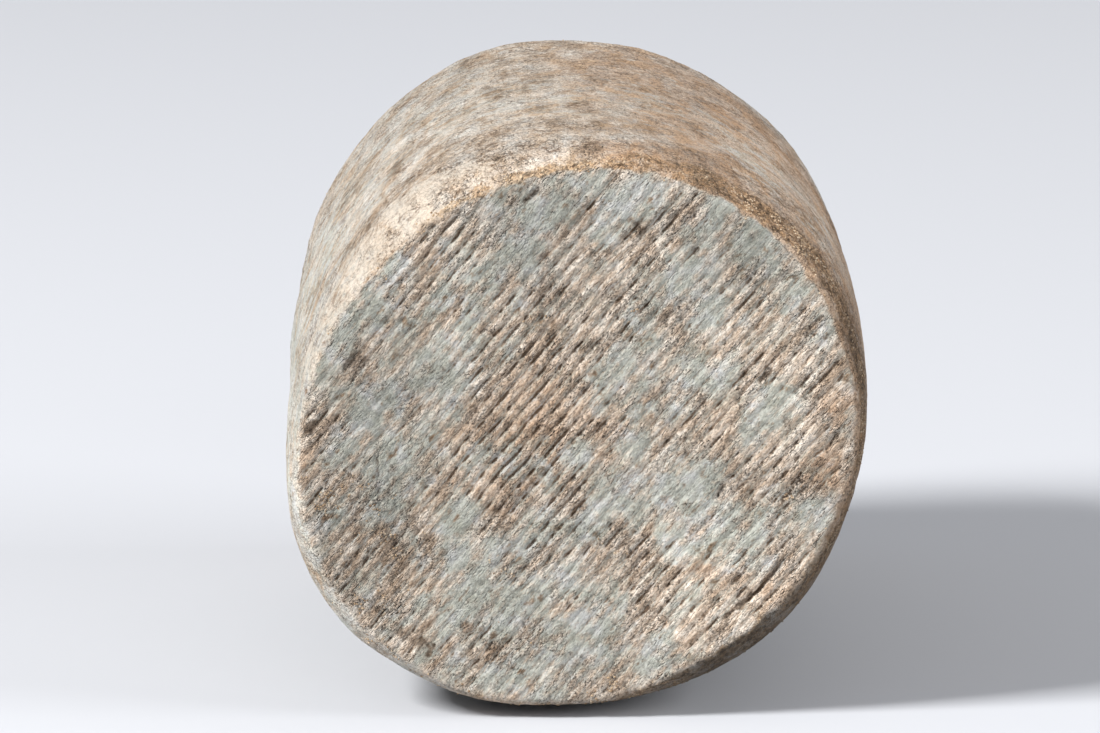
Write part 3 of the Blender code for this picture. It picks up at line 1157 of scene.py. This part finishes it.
@dataclass(frozen=True)
class EndNet:
    """The flat pattern of one end, out to the wall. Sizes are in metres.

    Attributes:
        step: from point to point along the mat's rows.
        rim_step: from point to point over the edge.
        overlap: how far the rings of the edge begin inside the flat.
        ring_gap: least gap to the wall's own ring, as a share of the rim's step.
        row_gap: least gap from the rows to the first ring, as a share of the rim's step.
        margin: how far past the front radius the rows are laid before they are trimmed.
        same_point: points nearer than this are one.
    """

    end: End
    mat: MatPrint
    step: float
    rim_step: float
    overlap: float = 0.0008
    ring_gap: float = 0.7
    row_gap: float = 0.6
    margin: float = 0.01
    same_point: float = 1e-8

    def rim_points(self, form: DrumForm, join_reach: float) -> tuple[np.ndarray, np.ndarray]:
        """Rings of points over the edge, as directions and distances from the end's middle.

        Args:
            form: the drum.
            join_reach: how far from the end the wall's own ring lies.

        Returns:
            The directions, and the distances along the surface.
        """
        count = int(TURN * form.front_radius / self.rim_step)
        angles, spreads = [], []
        reach = -self.overlap
        while True:
            angle = (np.arange(count) + 0.5 * (len(angles) % 2)) * TURN / count
            spread = form.flat_radius(angle, self.end) + reach
            room = form.unrolled_reach(angle, self.end, join_reach) - spread
            if np.min(room) < self.ring_gap * self.rim_step:
                return np.concatenate(angles), np.concatenate(spreads)
            angles.append(angle)
            spreads.append(spread)
            reach += self.rim_step

    def net(self, form: DrumForm, ring: np.ndarray,
            join_reach: float) -> tuple[np.ndarray, np.ndarray, np.ndarray]:
        """Lay out the end as a flat pattern and draw a net over it.

        Args:
            form: the drum.
            ring: directions of the wall's ring that the net is sewn to.
            join_reach: how far from the end that ring lies.

        Returns:
            The direction and the distance from the middle of each point, with those of the wall's
            own ring first, and the triangles of the net.
        """
        face = self.mat.grid(self.step, form.front_radius + self.margin)
        angle = np.arctan2(face[:, 1], face[:, 0])
        spread = np.hypot(face[:, 0], face[:, 1])
        trim = self.overlap + self.row_gap * self.rim_step
        inside = spread < form.flat_radius(angle, self.end) - trim
        rim_angle, rim_spread = self.rim_points(form, join_reach)
        angle = np.concatenate([ring, angle[inside], rim_angle])
        ring_spread = form.unrolled_reach(ring, self.end, join_reach)
        spread = np.concatenate([ring_spread, spread[inside], rim_spread])
        flat = [Vector(pair) for pair in zip(spread * np.cos(angle), spread * np.sin(angle))]
        border = [(index, (index + 1) % len(ring)) for index in range(len(ring))]
        drawn = geometry.delaunay_2d_cdt(flat, border, [], 1, self.same_point)
        faces, sources = drawn[2], drawn[3]
        triangles = np.array([[sources[corner][0] for corner in face] for face in faces])
        return angle, spread, triangles


@dataclass(frozen=True)
class DrumNet:
    """The points and faces of the whole drum. Sizes are in metres.

    Attributes:
        segments: how many points each ring of the wall has.
        wall_step: from ring to ring.
        join_reach: how far from an end its net is sewn to the wall.
    """

    form: DrumForm = DrumForm()
    front: EndNet = EndNet(End.FRONT, MatPrint(FRONT_LEAN, seed=11), step=0.00105, rim_step=0.00066)
    back: EndNet = EndNet(
        End.BACK, MatPrint(BACK_LEAN, seed=71, phases=(-0.2, 0.0, 0.2, 0.5)), step=0.0020,
        rim_step=0.0011,
    )
    segments: int = 280
    wall_step: float = 0.00140
    join_reach: float = 0.008

    def wall_grid(self) -> tuple[np.ndarray, np.ndarray, np.ndarray]:
        """The wall between the two nets: its directions, its reaches and its four-sided faces.

        Returns:
            The points' directions, their distances from the front end, and the faces.
        """
        rings = int((self.form.length - 2.0 * self.join_reach) / self.wall_step)
        reaches = np.linspace(self.join_reach, self.form.length - self.join_reach, rings + 1)
        angle = np.tile(np.arange(self.segments) * TURN / self.segments, rings + 1)
        reach = np.repeat(reaches, self.segments)
        ring, step = np.mgrid[0:rings, 0:self.segments]
        here = (ring * self.segments + step).ravel()
        beside = (ring * self.segments + (step + 1) % self.segments).ravel()
        faces = np.stack([here, here + self.segments, beside + self.segments, beside], 1)
        return angle, reach, faces

    def lay(self) -> RindPoints:
        """Join the wall and both nets into one set of points and faces.

        Returns:
            The points and faces.
        """
        form, half_edge = self.form, 0.5 * self.form.edge_radius
        angle, reach, quads = self.wall_grid()
        ring = angle[:self.segments]
        places = [form.laid(angle, form.wall_radius(angle, reach), reach)]
        edges = [np.minimum(reach, form.length - reach) + half_edge]
        sides = [np.where(reach < 0.5 * form.length, End.FRONT.value, End.BACK.value)]
        angles, faces, count = [angle], quads.tolist(), len(angle)
        for part, ring_start in ((self.front, 0), (self.back, len(angle) - self.segments)):
            turn, spread, triangles = part.net(form, ring, self.join_reach)
            added = len(turn) - self.segments
            own_ring = np.arange(self.segments) + ring_start
            triangles = np.concatenate([own_ring, np.arange(added) + count])[triangles]
            # Seen from -Y the flat pattern is as drawn, and from +Y it is turned over.
            faces += (triangles[:, ::-1] if part.end is End.BACK else triangles).tolist()
            turn, spread = turn[self.segments:], spread[self.segments:]
            middle = form.flat_radius(turn, part.end) + half_edge * form.edge_turn(part.end)
            places.append(form.end_point(turn, spread, part.end))
            edges.append(spread - middle)
            sides.append(np.full(added, part.end.value))
            angles.append(turn)
            count += added
        joined = [np.concatenate(parts) for parts in (places, angles, edges, sides)]
        return RindPoints(*joined, faces)


@dataclass(frozen=True)
class Unevenness:
    """What is uneven in the rind's form and in where its kinds of surface lie."""

    patches: Noise = Noise(5, cube(0.011), 3)
    fine: Noise = Noise(7, cube(0.0020), 2)
    lumps: Noise = Noise(9, cube(0.0062), 2)
    swell: Noise = Noise(13, cube(0.019))
    wrinkles: Noise = Noise(15, (0.006, 0.0055, 0.006), 3)
    dents: Noise = Noise(17, (0.026, 0.030, 0.026))
    crust: Noise = Noise(19, cube(0.0030), 3)
    fray: Noise = Noise(21, cube(0.0042), 3)
    ridges: Noise = Noise(23, cube(0.011), 3)
    clusters: Noise = Noise(25, cube(0.0050), 2)
    specks: Noise = Noise(27, cube(0.0017))
    dimples: Noise = Noise(29, cube(0.0050), 2)
    bloom_edges: Noise = Noise(31, cube(0.0045), 3)
    rim_scabs: Noise = Noise(33, cube(0.0026), 3)
    cracks: Noise = Noise(47, cube(0.004), 2)


@dataclass(frozen=True)
class ReliefHeights:
    """How high or deep each kind of relief is, in metres."""

    fray: float = 0.0014
    crack_wobble: float = 0.0005
    bloom: float = 0.00022
    dimple: float = 0.00028
    swell: float = 0.00026
    lump: float = 0.00014
    fine: float = 0.00014
    scab: float = 0.00030
    wrinkle: float = 0.00017
    dent: float = 0.0006
    crust: float = 0.00042
    crust_grain: float = 0.00012


class Surface:
    """What the rind is like at each of its points: the kinds of surface and their height."""

    # Where the face fades out past its edge, and where the rim fades in, in metres.
    face_fade = (-0.0010, 0.0005)
    rim_fade = (-0.0016, 0.0006)
    # Where the mat's print fades in from the edge, and how far over the edge the crust reaches.
    print_fade = (0.0002, 0.0016)
    crust_reach = 0.0042

    def __init__(self, net: DrumNet, points: RindPoints) -> None:
        """Read what the kinds of surface share.

        Args:
            net: the drum and its mats.
            points: the points of the plain drum.
        """
        self.net, self.points = net, points
        self.uneven, self.heights = Unevenness(), ReliefHeights()
        self.x, self.z, self.edge = points.places[:, 0], points.places[:, 2], points.edge
        self.is_front, self.is_back = points.side < 0.0, points.side > 0.0
        self.patchy = self.read(self.uneven.patches)
        self.fine = self.read(self.uneven.fine)
        self.lumpy = self.read(self.uneven.lumps)
        fray = self.heights.fray * self.read(self.uneven.fray)
        self.on_face = 1.0 - ease(*self.face_fade, self.edge + fray)
        self.off_face = ease(*self.rim_fade, self.edge + 1.4 * fray)
        self.wall = 1.0 - self.on_face
        self.front, self.back = self.on_face * self.is_front, self.on_face * self.is_back
        wall_grit = np.where(self.on_face > 0.5, 0.5, self.wall_marks(WALL_CRACKED))
        self.grit = self.front * self.spots(FRONT_GRIT, 0.3 * self.lumpy)
        self.grit = self.grit + (1.0 - self.front) * wall_grit

    def read(self, noise: Noise) -> np.ndarray:
        """Read noise at the rind's points."""
        return noise.at(self.points.places)

    def spots(self, marks: Marks, ragged: np.ndarray | float = 0.0) -> np.ndarray:
        """The sum of round marks, soft or ragged at their edges.

        Args:
            marks: x, z, radius and strength of each.
            ragged: how far their edges stray.

        Returns:
            One value for each point.
        """
        total = np.zeros_like(self.x)
        for left, up, radius, strength in marks:
            off = np.hypot(self.x - left * MM, self.z - up * MM) / (radius * MM)
            total += strength * ease(0.0, 1.0, 1.25 - off + ragged) * (off < 2.2)
        return total

    def wall_marks(self, marks: Marks) -> np.ndarray:
        """The sum of soft marks on the wall.

        Args:
            marks: direction, half-width, distance, half-length and strength of each.

        Returns:
            One value for each point.
        """
        reach = self.points.places[:, 1] + 0.5 * self.net.form.length
        total = np.zeros_like(reach)
        for turn, half_turn, place, half_place, strength in marks:
            turned = (self.points.angle - math.radians(turn) + math.pi) % TURN - math.pi
            off = np.hypot(np.degrees(np.abs(turned)) / half_turn, (reach / MM - place) / half_place)
            total += strength * ease(0.0, 1.0, 1.45 - off)
        return total

    def blooms(self) -> np.ndarray:
        """Where the named blooms of mould lie on the front end.

        Returns:
            How thick they are, from 0 to 1.
        """
        mat = self.net.front.mat
        along, across = mat.lines(self.x, self.z)
        ragged = 0.55 * self.uneven.bloom_edges.at(upright(self.x, self.z))
        cover = np.zeros_like(self.x)
        for left, up, half_long, half_wide, strength in FRONT_BLOOMS:
            middle = mat.lines(np.array([left * MM]), np.array([up * MM]))
            off = ((along - middle[0]) / (half_long * MM)) ** 2
            off = off + ((across - middle[1]) / (half_wide * MM)) ** 2
            patch = strength * ease(-0.75, 0.65, 1.0 - np.sqrt(off) + ragged * 0.8)
            cover = np.maximum(cover, patch)
        return cover

    def cracks(self) -> tuple[np.ndarray, np.ndarray]:
        """The named cracks of the front end: their depth and how dark they are.

        Returns:
            The depth in metres, and the darkness from 0 to 1.
        """
        wobble = self.heights.crack_wobble * self.uneven.cracks.at(upright(self.x, self.z))
        depth, dark = np.zeros_like(self.x), np.zeros_like(self.x)
        for left, up, length, turn, width, deep in FRONT_CRACKS:
            cos, sin = math.cos(math.radians(turn)), math.sin(math.radians(turn))
            x, z = self.x - left * MM, self.z - up * MM
            across = z * cos - x * sin + wobble
            share = ease(0.0, 0.25, 1.0 - np.abs(x * cos + z * sin) / (0.5 * length * MM))
            line = share * np.exp(-(across / (width * MM)) ** 2)
            depth = np.maximum(depth, deep * MM * line)
            dark = np.maximum(dark, line * min(1.0, 1.8 * deep))
        return depth, dark

    def end_cover(self) -> np.ndarray:
        """How thick the mould is on the ends: named blooms in front, chance patches behind.

        Returns:
            The thickness, from 0 to 1.
        """
        cover = self.blooms() * self.is_front
        cover = np.maximum(cover, self.is_front * 0.55 * ease(0.25, 0.7, self.patchy))
        return np.where(self.is_back, 0.8 * ease(-0.2, 0.6, self.patchy + 0.15), cover)

    def print_mats(self, cover: np.ndarray) -> tuple[np.ndarray, np.ndarray, np.ndarray]:
        """Press both mats: the height, the groove mask and the places across the ridges.

        Args:
            cover: how thick the mould over the ridges is.

        Returns:
            The height in metres, the mask, and the places in pitches.
        """
        ridged = np.where(self.is_front, self.spots(FRONT_RIDGED), 0.7)
        show = 0.6 * np.minimum(ridged, 1.2) + 0.45 * self.read(self.uneven.ridges)
        show = ease(-0.5, 1.05, show - 0.6 * cover + 0.44)
        front = self.net.front.mat.press(self.x, self.z, show)
        back = self.net.back.mat.press(self.x, self.z, show)
        on_flat = ease(*self.print_fade, -self.edge)
        height = on_flat * (self.front * front[0] + self.back * back[0])
        groove = on_flat * (self.front * front[1] + self.back * back[1])
        return height, part_of(groove), np.where(self.is_front, front[2], back[2])

    def masks(self, cover: np.ndarray, groove: np.ndarray, lines: np.ndarray, near: np.ndarray,
              crack_dark: np.ndarray) -> RindMasks:
        """Work out where each kind of surface lies.

        Args:
            cover: how thick the mould is on the ends.
            groove: how strong the groove at each point is.
            lines: each point's place across the ridges, in pitches.
            near: how near the edge of an end each point is.
            crack_dark: how dark the cracks are.

        Returns:
            The masks.
        """
        front, wall, patchy, lumpy = self.front, self.wall, self.patchy, self.lumpy
        crusty = np.where(self.is_front, self.off_face * self.wall_marks(RIM_CRUST), 0.6 * near)
        crust = part_of(crusty * (0.9 + 0.9 * lumpy + 0.5 * patchy))
        cream = part_of(self.off_face * self.wall_marks(RIM_CREAM) * (0.85 + 1.2 * patchy))
        scab = front * self.spots(FRONT_SCABS, 0.7 * self.fine)
        scab += (1.0 - front) * 0.8 * ease(0.62, 0.9, patchy + 0.35 * lumpy)
        scab += 0.9 * self.off_face * crust ** 2 * ease(-0.05, 0.45, self.read(self.uneven.rim_scabs))
        cluster = self.read(self.uneven.clusters) + 0.5 * self.read(self.uneven.specks)
        crumb = ease(0.05, 0.75, cluster + 0.5 * (self.grit - 1.0)) * part_of(self.grit) * self.on_face
        wall_bloom = self.wall_marks(WALL_BLOOMS) * (0.55 + 0.8 * patchy)
        bloom = front * cover + self.back * cover + wall * part_of(wall_bloom)
        warm = front * self.spots(FRONT_WARM, 0.3 * lumpy) + wall * self.wall_marks(WALL_WARM)
        # Painted light and shade: the back end, which faces away from the key lamp, is made lighter,
        # and the wall is made lighter or darker by its painted light marks; on the front end, patches
        # are lighter or darker than elsewhere.
        light = 0.35 * front * self.spots(FRONT_LIGHT) + 0.12 * self.back
        light += wall * np.clip(self.wall_marks(WALL_TONE_AND_PAINTED_LIGHT), -0.75, 0.3)
        return RindMasks(
            bloom=part_of(bloom + self.on_face * 0.25 * ease(-0.2, 0.6, patchy)),
            groove=groove, lines=lines, crust=crust, cream=cream,
            scab=part_of(np.maximum(scab, 0.9 * front * crack_dark)),
            grit=part_of(self.grit), crumb=part_of(crumb + 0.5 * crust * ease(-0.1, 0.6, cluster)),
            wall=wall, warm=part_of(warm + self.back * 0.4 * ease(0.0, 0.8, -patchy)),
            light=np.clip(light, -0.8, 0.5),
        )

    def relief(self) -> tuple[np.ndarray, RindMasks]:
        """Work out the height of the rind over the plain drum, and its masks.

        Returns:
            The heights in metres, and the masks.
        """
        high, on_face = self.heights, self.on_face
        cover = self.end_cover()
        height, groove, lines = self.print_mats(cover)
        near = np.exp(-np.maximum(self.edge, 0.0) / self.crust_reach)
        near = near * ease(*self.rim_fade, self.edge)
        crack_depth, crack_dark = self.cracks()
        masks = self.masks(cover, groove, lines, near, crack_dark)

        share = np.hypot(self.x, self.z) / self.net.form.front_radius
        height -= on_face * self.net.form.dish_depth * np.maximum(1.0 - share * share, 0.0)
        height -= self.front * crack_depth
        swollen = high.bloom + high.dimple * self.read(self.uneven.dimples)
        swell, rough = self.read(self.uneven.swell), 0.5 + 0.9 * cover + np.clip(self.grit, 0.0, 1.2)
        height += on_face * cover * swollen + high.swell * on_face * swell
        height += high.lump * self.lumpy * on_face + high.fine * self.fine * rough
        height -= high.scab * masks.scab * self.front * (0.7 + self.fine)
        wrinkle, dent = self.read(self.uneven.wrinkles), self.read(self.uneven.dents)
        height += self.wall * (high.wrinkle * wrinkle + high.dent * dent + high.lump * self.lumpy)
        crumbly = high.crust * self.read(self.uneven.crust) + high.crust_grain * self.fine
        height += np.maximum(near, 0.8 * masks.crust) * crumbly
        lowest, highest = height.min() / MM, height.max() / MM
        LOG.info("relief over %d points, from %.2f to %.2f mm", len(height), lowest, highest)
        return height, masks


@dataclass(frozen=True)
class Rind:
    """The whole rind of the cheese."""

    net: DrumNet = DrumNet()

    def build(self) -> bpy.types.Object:
        """Build the rind as one closed piece, in its place over the CAD node.

        Returns:
            The rind.
        """
        points = self.net.lay()
        mesh = points.mesh("plain_drum")
        normals = np.empty(3 * len(points.places))
        mesh.vertices.foreach_get("normal", normals)
        bpy.data.meshes.remove(mesh)
        height, masks = Surface(self.net, points).relief()
        points.places = points.places + normals.reshape(-1, 3) * height[:, None]
        low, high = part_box(NODE)
        x, z = points.places[:, 0], points.places[:, 2]
        points.places[:, 0] += 0.5 * (low[0] + high[0]) - 0.5 * (x.min() + x.max())
        points.places[:, 2] = np.maximum(z + self.net.form.axis_height, 0.0)
        mesh = points.mesh("rind")
        masks.paint(mesh)
        mesh.shade_smooth()
        mesh.materials.append(RindPaint(RindFinish(), RindGrain()).build())
        rind = place_in_scene("rind", mesh)
        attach(rind, "root")
        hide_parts(NODE)
        LOG.info("rind: %d points, %d faces", len(mesh.vertices), len(mesh.polygons))
        return rind


@dataclass(frozen=True)
class CrumbScatter:
    """Crumbs of crust scattered where the rind is granular. Sizes are radii in metres."""

    per_square_metre: float = 4.0e6
    smallest: float = 0.00012
    largest: float = 0.00034
    seed: int = 5

    def inputs(self) -> dict[str, tuple[str, float]]:
        """The named inputs of the node tree: each one's kind and its value.

        Returns:
            The kind and the value, by name.
        """
        return {
            "Crumbs per square metre": ("NodeSocketFloat", self.per_square_metre),
            "Smallest": ("NodeSocketFloat", self.smallest),
            "Largest": ("NodeSocketFloat", self.largest),
            "Seed": ("NodeSocketInt", self.seed),
        }

    def tree(self, finish: bpy.types.Material) -> bpy.types.NodeTree:
        """Build the node tree that scatters crumbs over a mesh and keeps the crumbs alone.

        Args:
            finish: the material of the crumbs.

        Returns:
            The node tree.
        """
        tree = bpy.data.node_groups.new("crumb_scatter", "GeometryNodeTree")
        face = tree.interface
        face.new_socket("Geometry", in_out="INPUT", socket_type="NodeSocketGeometry")
        for name, (kind, _) in self.inputs().items():
            face.new_socket(name, in_out="INPUT", socket_type=kind)
        face.new_socket("Geometry", in_out="OUTPUT", socket_type="NodeSocketGeometry")

        nodes = Nodes(tree)
        given = nodes.node("NodeGroupInput").outputs
        seed = Term(nodes, given["Seed"])
        mask = nodes.node("GeometryNodeInputNamedAttribute", {"Name": "crumb"}, data_type="FLOAT")
        density = Term(nodes, mask.outputs["Attribute"]) * given["Crumbs per square metre"]
        points = nodes.node("GeometryNodeDistributePointsOnFaces", {
            "Mesh": given["Geometry"], "Density": density, "Seed": given["Seed"],
        }, distribute_method="RANDOM")
        grain = nodes.node("GeometryNodeMeshIcoSphere", {"Radius": 1.0, "Subdivisions": 1})
        limits = {}
        for limit, name in (("Min", "Smallest"), ("Max", "Largest")):
            vector = nodes.node("ShaderNodeCombineXYZ", dict.fromkeys("XYZ", given[name]))
            limits[limit] = vector.outputs["Vector"]
        turn = {"Max": (TURN, TURN, TURN), "Seed": seed + 1.0}
        turn = nodes.node("FunctionNodeRandomValue", turn, data_type="FLOAT_VECTOR")
        size = {**limits, "Seed": seed + 2.0}
        size = nodes.node("FunctionNodeRandomValue", size, data_type="FLOAT_VECTOR")
        tint = nodes.node("FunctionNodeRandomValue", {"Seed": seed + 3.0}, data_type="FLOAT")
        placed = nodes.node("GeometryNodeInstanceOnPoints", {
            "Points": points.outputs["Points"], "Instance": grain.outputs["Mesh"],
            "Rotation": turn.outputs["Value"], "Scale": size.outputs["Value"],
        })
        crumbs = nodes.node("GeometryNodeStoreNamedAttribute", {
            "Name": "tint", "Geometry": placed.outputs["Instances"], "Value": tint.outputs[1],
        }, data_type="FLOAT", domain="INSTANCE")
        for kind in ("GeometryNodeRealizeInstances", "GeometryNodeSetShadeSmooth",
                     "GeometryNodeSetMaterial", "NodeGroupOutput"):
            crumbs = nodes.node(kind, {"Geometry": crumbs.outputs["Geometry"]})
            if kind == "GeometryNodeSetMaterial":
                crumbs.inputs["Material"].default_value = finish
        return tree

    def build(self, rind: bpy.types.Object) -> bpy.types.Object:
        """Scatter the crumbs over the rind and turn them into one plain mesh.

        Args:
            rind: the finished rind, with its masks.

        Returns:
            The crumbs.
        """
        tree, values = self.tree(CrumbFinish().build()), self.inputs()
        carrier = place_in_scene("crumb_carrier", rind.data)
        scatter = carrier.modifiers.new("crumbs", "NODES")
        scatter.node_group = tree
        for item in tree.interface.items_tree:
            if item.in_out == "INPUT" and item.name in values:
                scatter[item.identifier] = values[item.name][1]
        graph = bpy.context.evaluated_depsgraph_get()
        mesh = bpy.data.meshes.new_from_object(carrier.evaluated_get(graph))
        bpy.data.objects.remove(carrier, do_unlink=True)
        places = np.empty(3 * len(mesh.vertices))
        mesh.vertices.foreach_get("co", places)
        places[2::3] = np.maximum(places[2::3], 0.0)
        mesh.vertices.foreach_set("co", places)
        crumbs = place_in_scene("crust_crumbs", mesh)
        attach(crumbs, "root")
        LOG.info("crumbs: %d points, %d faces", len(mesh.vertices), len(mesh.polygons))
        return crumbs


@dataclass(frozen=True)
class Lamp:
    """A soft square lamp that looks at the middle of the cheese."""

    name: str
    place: Size
    size: float
    power: float
    colour: tuple[float, float, float]
    target: Size = (0.0, 0.0, 0.065)

    def build(self) -> None:
        """Hang the lamp."""
        light = bpy.data.lights.new(self.name, "AREA")
        light.size, light.energy, light.color = self.size, self.power, self.colour
        lamp = place_in_scene(self.name, light)
        lamp.location = self.place
        aim = Vector(self.target) - Vector(self.place)
        lamp.rotation_euler = aim.to_track_quat("-Z", "Y").to_euler()


@dataclass(frozen=True)
class Studio:
    """A pale floor, soft light and the camera."""

    floor_size: float = 12.0
    floor_colour: Colour = linear(190, 192, 197)
    floor_roughness: float = 0.8
    sky_colour: Colour = (0.93, 0.95, 1.0, 1.0)
    sky_strength: float = 0.30
    camera_distance: float = 1.9
    camera_drop: float = math.radians(10.8)
    # Pixels of the picture to a metre at the camera's aim, and the picture's width in pixels.
    picture_scale: float = 4453.0
    picture_width: float = 1100.0
    sensor_width: float = 36.0
    aim: Size = (-0.0058, -0.095, 0.0813)
    lamps: tuple[Lamp, ...] = (
        Lamp("key", (-2.3, -1.15, 2.3), 0.9, 195.0, (1.0, 0.992, 0.98)),
        Lamp("fill", (1.2, -3.0, 1.0), 2.2, 22.0, (0.97, 0.98, 1.0)),
        Lamp("back", (1.0, 3.0, 1.6), 2.0, 14.0, (1.0, 0.99, 0.98)),
        Lamp("side", (2.4, -0.5, 1.2), 1.6, 50.0, (1.0, 1.0, 1.0)),
    )

    def floor(self) -> None:
        """Lay the floor."""
        mesh = bpy.data.meshes.new("floor")
        half = 0.5 * self.floor_size
        corners = [(-half, -half, 0.0), (half, -half, 0.0), (half, half, 0.0), (-half, half, 0.0)]
        mesh.from_pydata(corners, [], [(0, 1, 2, 3)])
        sheet = Sheet("floor", self.floor_roughness)
        sheet.shader.inputs["Base Color"].default_value = self.floor_colour
        mesh.materials.append(sheet.material)
        floor = place_in_scene("floor", mesh)

    def camera(self) -> None:
        """Place the camera."""
        lens = bpy.data.cameras.new("camera")
        lens.sensor_width = self.sensor_width
        lens.lens = self.picture_scale * self.camera_distance * self.sensor_width / self.picture_width
        camera = place_in_scene("camera", lens)
        drop = self.camera_drop
        back = Vector((0.0, -math.cos(drop), math.sin(drop))) * self.camera_distance
        camera.location = Vector(self.aim) + back
        camera.rotation_euler = (0.5 * math.pi - drop, 0.0, 0.0)
        bpy.context.scene.camera = camera

    def build(self) -> None:
        """Set the stage."""
        self.floor()
        for lamp in self.lamps:
            lamp.build()
        world = bpy.data.worlds.new("studio")
        world.use_nodes = True
        sky = world.node_tree.nodes["Background"]
        sky.inputs["Color"].default_value = self.sky_colour
        sky.inputs["Strength"].default_value = self.sky_strength
        bpy.context.scene.world = world
        bpy.context.scene.view_settings.view_transform = "Standard"
        self.camera()


def main() -> None:
    """Build the stage and the cheese, and report each piece."""
    logging.basicConfig(level=logging.INFO, format="%(name)s: %(message)s")
    Studio().build()
    rind = Rind().build()
    CrumbScatter().build(rind)


if __name__ == "__main__":
    main()
